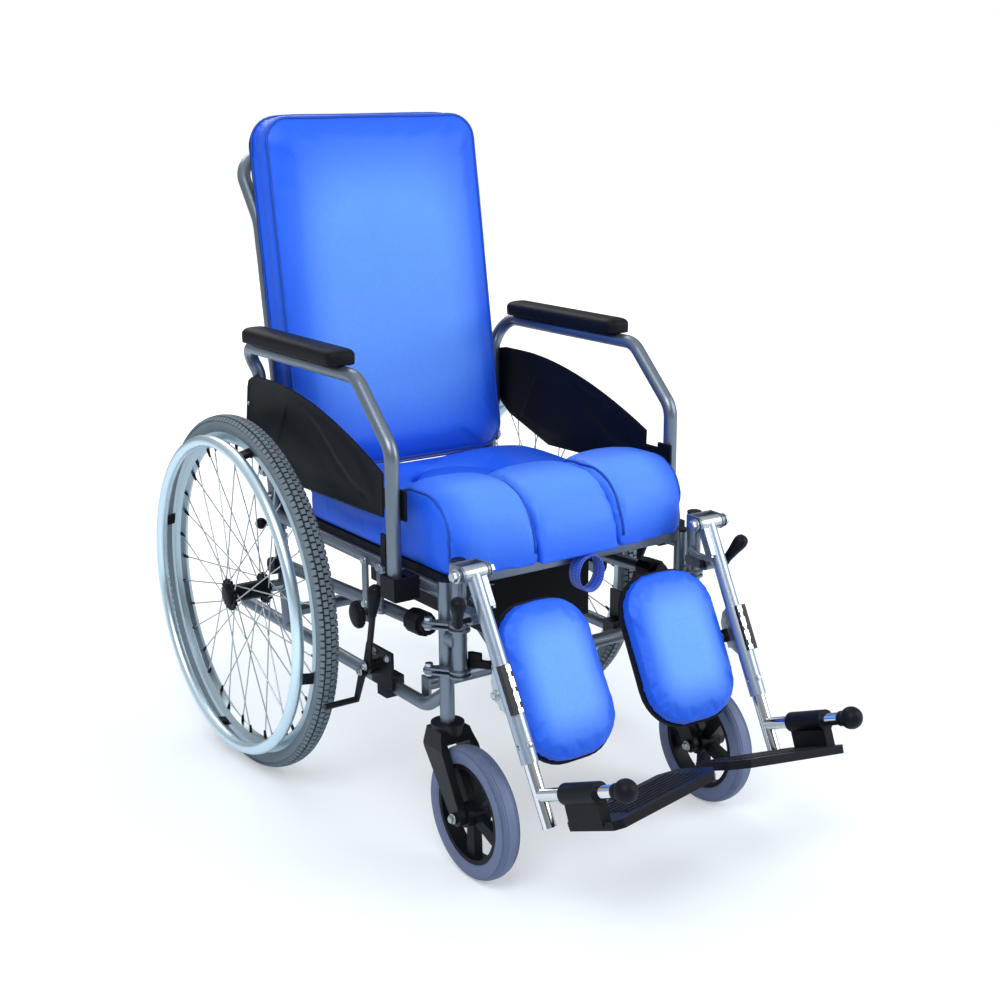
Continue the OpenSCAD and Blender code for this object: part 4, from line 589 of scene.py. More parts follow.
def lathe(bm, profile, place, steps=48):
    """Turns a profile of (radius, height) in millimetres round the Z axis of a place."""
    before = set(bm.verts)
    verts = [bm.verts.new((r * MM, 0, h * MM)) for r, h in profile]
    edges = [bm.edges.new(pair) for pair in zip(verts, verts[1:])]
    around = {"cent": (0, 0, 0), "axis": (0, 0, 1), "angle": math.tau, "use_merge": True}
    bmesh.ops.spin(bm, geom=verts + edges, steps=steps, **around)
    bmesh.ops.transform(bm, matrix=place, verts=[v for v in bm.verts if v not in before])


def ring(bm, profile, place, steps=96):
    """A closed profile of (radius, height) turned into a ring."""
    lathe(bm, [*profile, profile[0]], place, steps)


def both_ways(half):
    """A profile and its mirror image below it."""
    return half + [(r, -h) for r, h in reversed(half)]


def turned_piece(name, profile, place, steps, look, body):
    """A piece that is one turned profile."""
    bm = bmesh.new()
    lathe(bm, profile, place, steps)
    return make_piece(name, bm, look, body)


def block(bm, place, size):
    bmesh.ops.create_cube(bm, size=1.0, matrix=place @ Matrix.Diagonal((*[c * MM for c in size], 1)))


def tube_along(bm, points, radius, sides=10, closed=False):
    """A round tube along points in metres."""
    count = len(points)
    rings = []
    last_normal = None
    for i, p in enumerate(points):
        before = points[(i - 1) % count] if closed or i else points[0]
        after = points[(i + 1) % count] if closed or i < count - 1 else points[-1]
        way = (after - before).normalized()
        if last_normal is None:
            last_normal = way.orthogonal().normalized()
        normal = (last_normal - way * last_normal.dot(way)).normalized()
        last_normal = normal
        across = way.cross(normal)
        rings.append(
            [
                bm.verts.new(p + (normal * math.cos(a) + across * math.sin(a)) * radius)
                for a in (math.tau * k / sides for k in range(sides))
            ]
        )
    pairs = list(zip(rings, rings[1:])) + ([(rings[-1], rings[0])] if closed else [])
    for one, two in pairs:
        offset = 0
        if closed and two is rings[0]:
            offset = min(range(sides), key=lambda k: (one[0].co - two[k].co).length)
        for k in range(sides):
            j = (k + 1) % sides
            bm.faces.new((one[k], one[j], two[(j + offset) % sides], two[(k + offset) % sides]))
    if not closed:
        bm.faces.new(rings[0][::-1])
        bm.faces.new(rings[-1])


def tree_of(obj):
    bm = bmesh.new()
    bm.from_mesh(obj.data)
    made = BVHTree.FromBMesh(bm)
    bm.free()
    return made


def evaluated_copy(obj):
    """The object's mesh with its modifiers applied."""
    graph = bpy.context.evaluated_depsgraph_get()
    graph.update()
    found = obj.evaluated_get(graph)
    return bpy.data.meshes.new_from_object(found, preserve_all_data_layers=True, depsgraph=graph)


def even_mesh(node, voxel):
    """The surface of a CAD solid, meshed anew in even faces."""
    start = bmesh.new()
    start.from_mesh(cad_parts[node].data)
    bmesh.ops.remove_doubles(start, verts=start.verts, dist=2e-5)
    bmesh.ops.recalc_face_normals(start, faces=start.faces)
    data = bpy.data.meshes.new("rough")
    start.to_mesh(data)
    start.free()
    rough = bpy.data.objects.new("rough", data)
    bpy.context.scene.collection.objects.link(rough)
    remesh = rough.modifiers.new("remesh", "REMESH")
    remesh.mode = "VOXEL"
    remesh.voxel_size = voxel
    even = evaluated_copy(rough)
    bpy.data.objects.remove(rough)
    return even


def stuffed(name, node, body, cap, shrink, hold, look, voxel=None):
    """A stuffed cushion in the place of a CAD solid: meshed anew, blown up as cloth, and capped.

    The skin starts shrink millimetres inside the solid, and no point moves further than cap millimetres.
    hold tells which points rest on something and stay."""
    even = even_mesh(node, voxel or sizes().voxel)
    cushion = bpy.data.objects.new(name, even)
    bpy.context.scene.collection.objects.link(cushion)
    rest = np.array([v.co for v in even.vertices], float)
    normals = np.array([v.normal for v in even.vertices], float)
    held = np.array([bool(hold(Vector(p))) for p in rest])
    begin = rest - normals * (shrink * MM) * (~held)[:, None]
    even.vertices.foreach_set("co", begin.ravel())
    even.update()
    pins = cushion.vertex_groups.new(name="held")
    pins.add([int(i) for i in np.flatnonzero(held)], 1.0, "REPLACE")
    cloth = cushion.modifiers.new("cloth", "CLOTH")
    for key, value in COVER.items():
        setattr(cloth.settings, key, value)
    cloth.settings.effector_weights.gravity = 0
    cloth.point_cache.frame_start = 1
    cloth.point_cache.frame_end = STUFFING_STEPS
    for step in range(1, STUFFING_STEPS + 1):
        bpy.context.scene.frame_set(step)
    blown = evaluated_copy(cushion)
    moved = np.array([v.co for v in blown.vertices], float)
    cushion.modifiers.clear()
    cushion.vertex_groups.clear()
    bpy.context.scene.frame_set(1)
    way = moved - begin
    far = np.linalg.norm(way, axis=1, keepdims=True)
    way *= np.minimum(1, cap * MM / np.maximum(far, 1e-9))
    even.vertices.foreach_set("co", (begin + way).ravel())
    even.update()
    for polygon in even.polygons:
        polygon.use_smooth = True
    even.materials.clear()
    even.materials.append(finish(look))
    fine = cushion.modifiers.new("fine", "SUBSURF")
    fine.levels = fine.render_levels = 1
    cushion.data = evaluated_copy(cushion)
    cushion.modifiers.clear()
    cushion.data.name = name
    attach(cushion, body)
    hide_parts(node)
    return cushion


def cast(tree, origin, direction):
    """Where a ray first meets a surface, or None."""
    hit, normal, _, _ = tree.ray_cast(origin, direction.normalized())
    return (hit, normal) if hit else None


# Operators


class CHAIR_OT_stage(Operator):
    """Floor, light and the photograph's camera"""

    bl_idname = "chair.stage"
    bl_label = "Stage and camera"

    def execute(self, context):
        scene = context.scene
        look = scene.chair_stage
        azimuth, elevation, roll = (math.radians(v) for v in (look.azimuth, look.elevation, look.roll))
        right = Vector((math.cos(azimuth), math.sin(azimuth), 0))
        level = math.cos(elevation)
        back = Vector((math.sin(azimuth) * level, -math.cos(azimuth) * level, math.sin(elevation)))
        up = back.cross(right)
        right, up = right * math.cos(roll) + up * math.sin(roll), up * math.cos(roll) - right * math.sin(roll)
        camera = bpy.data.objects.new("camera", bpy.data.cameras.new("camera"))
        scene.collection.objects.link(camera)
        place = Matrix((right, up, back)).transposed().to_4x4()
        place.translation = Vector(CAMERA_PLACE)
        camera.matrix_world = place
        camera.data.lens = look.lens
        camera.data.sensor_width = 36
        camera.data.shift_x, camera.data.shift_y = CAMERA_SHIFT_SHARES
        scene.camera = camera
        scene.view_settings.view_transform = "Standard"
        self.light(scene, look)
        self.floor(scene)
        return {"FINISHED"}

    def light(self, scene, look):
        world = bpy.data.worlds.new("surround")
        world.use_nodes = True
        scene.world = world
        sky = Nodes(world.node_tree)
        camera_ray = sky.node("ShaderNodeLightPath", out="Is Camera Ray")
        seen = camera_ray.math("MAXIMUM", sky.node("ShaderNodeLightPath", out="Is Transmission Ray"))
        plain = sky.node("ShaderNodeBackground", Color=(1, 1, 1))
        soft = sky.node("ShaderNodeBackground", Color=(0.93, 0.96, 1.0), Strength=self.glow(sky, look.fill))
        output = sky.tree.nodes.new("ShaderNodeOutputWorld")
        sky.put(output, "Surface", sky.node("ShaderNodeMixShader", None, seen, soft, plain))
        for name, power, size, place in (
            ("key", look.key, 2.0, (-2.0, -1.9, 3.1)),
            ("side", look.key * 0.72, 2.2, (2.2, -2.4, 1.9)),
            ("rear", look.key * 0.5, 2.0, (0.4, 2.6, 2.9)),
        ):
            lamp = bpy.data.objects.new(name, bpy.data.lights.new(name, "AREA"))
            lamp.data.energy, lamp.data.size = power, size
            scene.collection.objects.link(lamp)
            aim = Vector((0, 0, 0.5)) - Vector(place)
            lamp.matrix_world = Matrix.Translation(place) @ aim.to_track_quat("-Z", "Y").to_matrix().to_4x4()

    def glow(self, sky, strength):
        """Brighter from above and from both sides than from the front, for contrast in the metal."""
        x, y, z = sky.axes(sky.node("ShaderNodeTexCoord", out="Generated"))
        side = (abs(x * 0.82 + y * -0.57) ** 3.0).math("SMOOTH_MIN", 1.0, 0.1)
        top = z.math("MAXIMUM", 0.0) ** 1.5
        return (side * 0.85 + top * 1.5 + 0.34) * strength

    def floor(self, scene):
        bm = bmesh.new()
        bmesh.ops.create_circle(bm, cap_ends=True, segments=96, radius=FLOOR_RADIUS)
        data = bpy.data.meshes.new("floor")
        bm.to_mesh(data)
        bm.free()
        floor = bpy.data.objects.new("floor", data)
        scene.collection.objects.link(floor)
        made = Surface("floor_white", Base_Color=(0.83, 0.90, 0.97), Roughness=0.7, Specular_IOR_Level=0.2)
        plain = Value(made, made.shader.outputs[0])
        glow = made.node("ShaderNodeEmission", Color=(1, 1, 1), Strength=1.32)
        x, y, _ = made.axes(made.place())
        far = (x**2.0 + y**2.0) ** 0.5
        share = made.node("ShaderNodeLightPath", out="Is Camera Ray") * (0.27 + 0.73 * far.over(1.08, 0.8))
        made.show(made.node("ShaderNodeMixShader", None, share, plain, glow))
        data.materials.append(made.material)


class CHAIR_OT_frame_finishes(Operator):
    """Paint, plating and plastic on the frame's own parts"""

    bl_idname = "chair.frame_finishes"
    bl_label = "Frame finishes"

    def execute(self, context):
        kinds_of = {
            "silver_paint": "side_frame cross_members back_frame armrest_tube legrest_hanger",
            "leg_paint": "leg_tube",
            "bright_steel": "foot_tube",
            "zinc_steel": "frame_fasteners",
            "rim_metal": "rear_rim",
            "rear_rubber": "rear_tyre",
            "caster_rubber": "caster_tyre",
            "black_paint": "brake_brackets caster_fork elevation_lever brake_lever brake_shoe",
            "black_plastic": "frame_fittings pan caster_centre recline_plunger armrest_latch "
            "swing_latch footplate hand_knob",
            "board_black": "seat_board back_board calf_backing",
            "black_foam": "armrest_pad",
            "panel_black": "armrest_panel",
            "blue_vinyl": "seat_cushion seat_plug back_pad calf_pad pull_strap",
        }
        looks = {kind: look for look, kinds in kinds_of.items() for kind in kinds.split()}
        hub = two_finishes("hub_and_spokes", finish("black_plastic"), finish("zinc_steel"), self.beyond_hub)
        rim = two_finishes("handrim_and_tabs", finish("handrim_metal"), finish("black_plastic"), self.on_tab)
        for name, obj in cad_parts.items():
            kind = name.removesuffix("_left").removesuffix("_right")
            look = hub if kind == "rear_hub" else rim if kind == "handrim" else finish(looks[kind])
            if obj.data.materials:
                obj.data.materials[0] = look
            else:
                obj.data.materials.append(look)
        return {"FINISHED"}

    def beyond_hub(self, made):
        """1 where the spokes are, 0 on the hub."""
        return made.round_axle()[1].over((FLANGE_R + 1) * MM, 0.0006)

    def on_tab(self, made):
        """1 on the tabs, 0 on the handrim's tube."""
        x, radius = made.round_axle()
        near = (REAR_TRACK / 2 + HANDRIM_OUT) * MM
        off = ((abs(x) - near) ** 2.0 + (radius - HANDRIM_R * MM) ** 2.0) ** 0.5
        return off.over((HANDRIM_TUBE / 2 + 0.2) * MM, 0.0003)


class CHAIR_OT_upholstery(Operator):
    """Seat, insert, back and calf pads, stuffed as cloth"""

    bl_idname = "chair.upholstery"
    bl_label = "Upholstery"

    def execute(self, context):
        back = at_back().inverted()
        floor_z = (SEAT_Z + 3) * MM
        on_board = {"hold": lambda p: p.z < floor_z, "look": "seat_vinyl"}
        seat = stuffed("seat_cushion_soft", "seat_cushion", "base", 4.5, 2.0, **on_board)
        stuffed("seat_insert_soft", "seat_plug", "insert", 4.5, 2.0, **on_board)
        rear = stuffed(
            "back_cushion_soft",
            "back_pad",
            "back",
            4.5,
            2,
            hold=lambda p: (back @ p).y > -(BACK_PAD_V + 3) * MM,
            voxel=0.006,
            look="back_vinyl",
        )
        for s, side in SIDES:
            leg = at_leg(s).inverted()
            stuffed(
                f"calf_cushion_{side}",
                f"calf_pad_{side}",
                f"calf_{side}",
                3,
                1.2,
                hold=lambda p: (leg @ p).y > 26.5 * MM,
                voxel=0.004,
                look="calf_vinyl",
            )
        self.back_piping(rear)
        self.seat_piping(seat)
        return {"FINISHED"}

    def outline(self, w, h, r, steps):
        """Points of a rounded rectangle, corner by corner."""
        points = []
        for corner in range(4):
            sx = 1 if corner in (0, 3) else -1
            sy = 1 if corner < 2 else -1
            for i in range(steps + 1):
                a = math.radians(90 * (corner + i / steps))
                points.append((sx * (w / 2 - r) + r * math.cos(a), sy * (h / 2 - r) + r * math.sin(a)))
        return points

    def spread(self, points, step):
        """Adds points along the straight stretches of a closed outline."""
        made = []
        for (x0, y0), (x1, y1) in zip(points, points[1:] + points[:1]):
            count = max(1, int(math.hypot(x1 - x0, y1 - y0) / step))
            made += [(x0 + (x1 - x0) * k / count, y0 + (y1 - y0) * k / count) for k in range(count)]
        return made

    def back_piping(self, cushion):
        """Two piped seams round the back cushion, at its front and rear edges."""
        tree = tree_of(cushion)
        place = at_back()
        turned = place.to_3x3()
        middle = BACK_LOW + BACK_H / 2
        core_half_w, core_half_h, away = 150, 225, 60
        for name, depth in (("back_piping_front", 0.86), ("back_piping_rear", 0.10)):
            points = []
            y = -(BACK_PAD_V + depth * (BACK_T - 8))
            for x, h in self.spread(self.outline(BACK_W, BACK_H, BACK_CORNER, 10), 14):
                across = max(-1, min(1, x / (BACK_W / 2)))
                inner = Vector((across * core_half_w, y, middle + max(-core_half_h, min(core_half_h, h))))
                outer = Vector((x, y, middle + h))
                way = (outer - inner).normalized()
                found = cast(tree, place @ ((outer + way * away) * MM), turned @ -way)
                if found:
                    points.append(found[0] + found[1] * 0.0004)
            bm = bmesh.new()
            tube_along(bm, points, sizes().piping / 2, 8, closed=True)
            make_piece(name, bm, "blue_piping", "back")

    def seat_piping(self, seat):
        """Piped seams down the outer edges of the seat and at the edges of the insert's slot."""
        tree = tree_of(seat)
        inset, along, round_front = 9, 45, 25
        for s, side in SIDES:
            for label, x, end in (("outer", SEAT_W / 2 - inset, 66), ("slot", INSERT_HALF + inset - 1, 215)):
                points = []
                middle = Vector((s * x, fore(400), 480))
                for k in range(along + 1):
                    y = fore(end + 8) + (fore(395) - fore(end + 8)) * k / along
                    found = cast(tree, Vector((s * x, y, 700)) * MM, Vector((0, 0, -1)))
                    if found:
                        points.append(found[0])
                for k in range(1, round_front + 1):
                    angle = math.radians(90 + 118 * k / round_front)
                    way = Vector((0, math.cos(angle), math.sin(angle)))
                    found = cast(tree, (middle + way * 400) * MM, -way)
                    if found and found[0].z > (SEAT_Z + 8) * MM:
                        points.append(found[0])
                bm = bmesh.new()
                tube_along(bm, points, sizes().piping / 2 * 0.85, 8)
                make_piece(f"seat_piping_{label}_{side}", bm, "blue_piping", "base")


class CHAIR_OT_arm_pads(Operator):
    """Moulded armrest pads"""

    bl_idname = "chair.arm_pads"
    bl_label = "Armrest pads"

    def execute(self, context):
        voxel, glued = 0.003, 0.002
        for _, side in SIDES:
            node = f"armrest_pad_{side}"
            bm = bmesh.new()
            bm.from_mesh(even_mesh(node, voxel))
            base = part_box(node)[0].z
            every_way = {"use_axis_x": True, "use_axis_y": True, "use_axis_z": True}
            for _ in range(5):
                free = [v for v in bm.verts if v.co.z > base + glued]
                bmesh.ops.smooth_vert(bm, verts=free, factor=0.5, **every_way)
            pad = make_piece(f"armrest_pad_soft_{side}", bm, "black_foam", f"armrest_{side}")
            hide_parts(node)
        return {"FINISHED"}


class CHAIR_OT_pull_loop(Operator):
    """Webbing loop under the front of the seat"""

    bl_idname = "chair.pull_loop"
    bl_label = "Pull loop"

    def execute(self, context):
        middle_x, middle_z, front_y = 17.5, 410.2, fore(UPRIGHT_AHEAD) - 8.6
        width, thick = 25.0, 2.2
        # An oval that runs on past its start, with its last steps tucked inside
        half_wide, half_high = 23.5, 28.5
        start, sweep, count, tucked = 96, 372, 56, 6
        line = []
        for k in range(count + 1):
            a = math.radians(start - sweep * k / count)
            out = 1 - 0.05 * max(0, k - (count - tucked)) / tucked
            line.append((middle_x + half_wide * out * math.cos(a), middle_z + half_high * out * math.sin(a)))
        bm = bmesh.new()
        uv = bm.loops.layers.uv.new("UVMap")
        rows, run = [], 0.0
        for i, (x, z) in enumerate(line):
            run += math.dist(line[i - 1], line[i]) if i else 0
            across = [front_y - width * j / 4 for j in range(5)]
            rows.append([(bm.verts.new((x * MM, y * MM, z * MM)), j / 4, run) for j, y in enumerate(across)])
        for one, two in zip(rows, rows[1:]):
            for j in range(4):
                corners = (one[j], one[j + 1], two[j + 1], two[j])
                face = bm.faces.new([c[0] for c in corners])
                for loop, corner in zip(face.loops, corners):
                    loop[uv].uv = (corner[1] * width * MM, corner[2] * MM)
        loop_piece = make_piece("pull_loop_webbing", bm, "blue_webbing", "insert")
        solid = loop_piece.modifiers.new("thick", "SOLIDIFY")
        solid.thickness = thick * MM
        solid.offset = 0
        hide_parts("pull_strap")
        return {"FINISHED"}


class CHAIR_OT_wheels(Operator):
    """Tyres with tread, spoke nipples and hub flanges"""

    bl_idname = "chair.wheels"
    bl_label = "Wheels"

    # Rows of tread blocks: radius, place across, lean in degrees, block size and stagger
    tread_rows = (
        (297.3, 4.2, 8, (5.0, 8.6, 7.2), 0.0),
        (297.3, -4.2, -8, (5.0, 8.6, 7.2), 0.5),
        (293.4, 11.9, 46, (5.6, 8.2, 7.6), 0.5),
        (293.4, -11.9, -46, (5.6, 8.2, 7.6), 0.0),
    )

    def execute(self, context):
        for s, side in SIDES:
            self.rear_tyre(s, side)
            self.nipples(s, side)
            self.hub_teeth(s, side)
            self.caster_tyre(s, side)
        return {"FINISHED"}

    def rear_tyre(self, s, side):
        """Carcass, turned from half its section, and rows of tread blocks on it."""
        place = at_rear_wheel(s)
        half = [(273, 12.6), (276, 14.2), (281, 16.6), (286, 17.0)]
        half += [(289.4, 16.2), (291.4, 13.4), (294.6, 9.4), (296.4, 4.0)]
        bm = bmesh.new()
        ring(bm, both_ways(half), place, 120)
        count = sizes().tread_blocks
        for k in range(count):
            for r, h, lean, size, stagger in self.tread_rows:
                angle = 360 * (k + stagger) / count
                block(bm, place @ turn(angle, "Z") @ shift(r, 0, h) @ turn(-lean, "Y"), size)
        tyre = make_piece(f"rear_tyre_tread_{side}", bm, "rear_rubber", f"rear_wheel_{side}")
        sharpen(tyre, 30)
        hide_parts(f"rear_tyre_{side}")

    def nipples(self, s, side):
        place = at_rear_wheel(s)
        bm = bmesh.new()
        for i in range(SPOKES):
            flange = 1 if i % 2 == 0 else -1
            spot = place @ turn(360 * i / SPOKES, "Z") @ shift(RIM_IN_R, 0, flange * 3) @ turn(-90, "Y")
            lathe(bm, [(0, 12), (1.9, 12), (2.3, 8), (2.9, 2), (2.9, -1), (0, -1)], spot, 8)
        sharpen(make_piece(f"spoke_nipples_{side}", bm, "black_plastic", f"rear_wheel_{side}"))

    def hub_teeth(self, s, side):
        """Teeth and collar of both flanges, and the cap on the outer face of the hub."""
        place = at_rear_wheel(s)
        bm = bmesh.new()
        teeth = 18
        for k in (-1, 1):
            level = k * (HUB_LEN - 4) / 2 - HUB_INSET
            for i in range(teeth):
                spot = place @ turn(360 / teeth * i, "Z") @ shift(FLANGE_R + 0.4, 0, level)
                lathe(bm, [(0, -2.6), (3.0, -2.6), (3.4, -2.0), (3.4, 2.0), (3.0, 2.6), (0, 2.6)], spot, 10)
            ring(bm, [(13, level - 2.5), (18, level - 3.2), (18, level + 3.2), (13, level + 2.5)], place, 36)
        face = HUB_LEN / 2 - HUB_INSET
        cap = [(0, 7), (10, 6.8), (15.4, 5.6), (17.6, 3.4), (18, -2), (0, -2)]
        lathe(bm, [(r, face + h) for r, h in cap], place, 36)
        sharpen(make_piece(f"hub_flanges_{side}", bm, "black_plastic", f"rear_wheel_{side}"))

    def caster_tyre(self, s, side):
        """Solid tyre with four ribs on each half of its tread."""
        place = at_caster(s)
        half = [(75, 13), (77, 15.2), (81, 16), (89, 16), (92.5, 15.5)]
        for i in range(4):
            a = math.radians(12 + 17 * i)
            r, h = 92.4 + 7.2 * math.sin(a), 15.6 * math.cos(a * 0.92)
            half += [(r - 0.1, h + 0.2), (r - 0.9, h - 0.5), (r + 0.5, h - 1.3)]
        half += [(99.6, 5.2), (100, 2.6)]
        bm = bmesh.new()
        ring(bm, both_ways(half), place, 96)
        tyre = make_piece(f"caster_tyre_ribbed_{side}", bm, "caster_rubber", f"caster_wheel_{side}")
        sharpen(tyre, 34)
        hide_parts(f"caster_tyre_{side}")


def to_line(p, line):
    """Distance of a point from a line of points."""
    best = math.inf
    for a, b in zip(line, line[1:]):
        way = (b[0] - a[0], b[1] - a[1])
        share = ((p[0] - a[0]) * way[0] + (p[1] - a[1]) * way[1]) / (way[0] ** 2 + way[1] ** 2)
        share = max(0, min(1, share))
        best = min(best, math.hypot(p[0] - a[0] - way[0] * share, p[1] - a[1] - way[1] * share))
    return best


def inside(p, outline):
    """Whether a point lies inside a closed outline."""
    hits = 0
    for a, b in zip(outline, outline[1:] + outline[:1]):
        if (a[1] > p[1]) != (b[1] > p[1]) and p[0] < a[0] + (b[0] - a[0]) * (p[1] - a[1]) / (b[1] - a[1]):
            hits += 1
    return hits % 2 == 1


def ease(value):
    value = max(0.0, min(1.0, value))
    return value * value * (3 - 2 * value)


class CHAIR_OT_side_panels(Operator):
    """Moulded side panels under the armrests"""

    bl_idname = "chair.side_panels"
    bl_label = "Side panels"

    # Shares of the armrest's length and height
    crease_shares = [(0.215, 0.668), (0.3, 0.622), (0.381, 0.561), (0.478, 0.446)]
    crease_shares += [(0.571, 0.31), (0.663, 0.201), (0.732, 0.151), (0.812, 0.135)]
    brow_shares = [(0.322, 0.66), (0.48, 0.63), (0.627, 0.55), (0.73, 0.45), (0.8, 0.34)]
    brow_shares += [(0.84, 0.24), (0.84, 0.165)]

    def arc(self, a, top):
        """Upper edge of the panel, as a share of the armrest's height."""
        return top - 0.602 * max(0, a - 0.1) ** 1.79

    def spot(self, share):
        """Place on the panel, in millimetres, of shares of the armrest's length and height."""
        return (fore(share[0] * ARM_AHEAD), ARM_HINGE_Z + share[1] * (ARM_Z - ARM_HINGE_Z))

    def relief(self, p, rim, crease, leaf):
        """How far the moulding stands out, in millimetres, at a place of the panel."""
        edge = to_line(p, rim)
        to_crease = to_line(p, crease)
        rise = 1.3 * (1 - ease((edge - 2.5) / 4))
        if inside(p, leaf):
            rise += 3.4 * ease(to_crease / 5) * ease(to_line(p, leaf) / 16)
        else:
            low = crease[-1][1]
            hollow = inside(p, [*crease, (crease[-1][0], low - 90), (crease[0][0] + 90, low - 40)])
            rise -= (2.2 if hollow else 0.6) * ease(to_crease / 40) * ease((edge - 6) / 22)
        pocket = math.hypot((p[0] - crease[-2][0] + 8) / 17, (p[1] - crease[-2][1] - 1) / 6)
        return rise - 2.4 * (1 - ease(pocket))

    def execute(self, context):
        rim = [(-0.125, 0.65), (-0.113, 0.71), (-0.08, 0.745), (-0.04, 0.762)]
        rim += [(0.05 + 0.05 * i, self.arc(0.05 + 0.05 * i, 0.763)) for i in range(17)]
        rim += [(0.895, 0.363), (0.888, 0.05), (0.27, 0.02), (-0.01, 0.2), (-0.146, 0.384)]
        rim = [self.spot(p) for p in rim]
        crease = [self.spot(p) for p in self.crease_shares]
        leaf = crease + [self.spot(p) for p in reversed(self.brow_shares)]
        cell = 3.6
        for s, side in SIDES:
            bm = bmesh.new()
            face = bm.faces.new([bm.verts.new((PANEL_X * MM, y * MM, z * MM)) for y, z in rim])
            for depth in (0.0012, 0.002, 0.0025):
                bmesh.ops.inset_region(bm, faces=[face], thickness=depth, use_even_offset=True)
            ahead = [p[0] for p in rim]
            for axis, low, high in ((1, min(ahead), max(ahead)), (2, ARM_HINGE_Z, 662)):
                for k in range(1, int((high - low) / cell)):
                    at = Vector((0, 0, 0))
                    normal = Vector((0, 0, 0))
                    at[axis] = (low + cell * k) * MM
                    normal[axis] = 1
                    everything = [*bm.verts, *bm.edges, *bm.faces]
                    bmesh.ops.bisect_plane(bm, geom=everything, plane_co=at, plane_no=normal)
            for v in bm.verts:
                spot = (v.co.y / MM, v.co.z / MM)
                v.co.x += (2.0 + self.relief(spot, [*rim, rim[0]], crease, leaf)) * MM
            bmesh.ops.transform(bm, matrix=mirrored(s), verts=bm.verts)
            panel = make_piece(f"side_panel_{side}", bm, "panel_black", f"armrest_{side}")
            if panel.data.polygons[0].normal.x * s < 0:
                panel.data.flip_normals()
            sharpen(panel, 50)
            solid = panel.modifiers.new("thick", "SOLIDIFY")
            solid.thickness = 2.4 * MM
            solid.offset = -1
            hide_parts(f"armrest_panel_{side}")
            self.clip(s, side)
        return {"FINISHED"}

    def clip(self, s, side):
        """Clip on the front post with its tongue behind the panel, and the screw at the panel's rear."""
        bm = bmesh.new()
        place = mirrored(s)
        level = 537
        block(bm, place @ shift(PANEL_X + 1.6, fore(ARM_AHEAD) - 1, level), (4.6, 32, 46))
        block(bm, place @ shift(PANEL_X + 0.8, fore(ARM_AHEAD) + 24, level), (2.8, 56, 30))
        bmesh.ops.bevel(bm, geom=[*bm.verts, *bm.edges], offset=0.0009, segments=2, affect="EDGES")
        made = make_piece(f"panel_clip_{side}", bm, "black_plastic", f"armrest_{side}")
        sharpen(made)
        bm = bmesh.new()
        y, z = self.spot((-0.121, 0.525))
        screw_head(bm, place @ pointing((PANEL_X + 3.6, y, z), (1, 0, 0)), 3.6)
        sharpen(make_piece(f"panel_screw_{side}", bm, "zinc_steel", f"armrest_{side}"))


def screw_head(bm, place, radius):
    """Domed screw head with a recess."""
    shares = [(0, 0.1), (0.42, 0.1), (0.45, 0.46), (0.8, 0.34), (1, 0.06), (1, -0.3)]
    lathe(bm, [(radius * a, radius * b) for a, b in shares], place, 20)


def hex_bolt(bm, place, across):
    """Hexagon head on a washer, its chamfer turned from the top."""
    r = across / 2
    lathe(bm, [(0, 1.4), (r * 1.32, 1.4), (r * 1.42, 1.0), (r * 1.42, 0), (0, 0)], place, 28)
    head = [(0, across * 0.58), (r * 0.80, across * 0.58), (r * 1.08, across * 0.48)]
    head += [(r * 1.08, 1.3), (0, 1.3)]
    lathe(bm, head, place, 6)


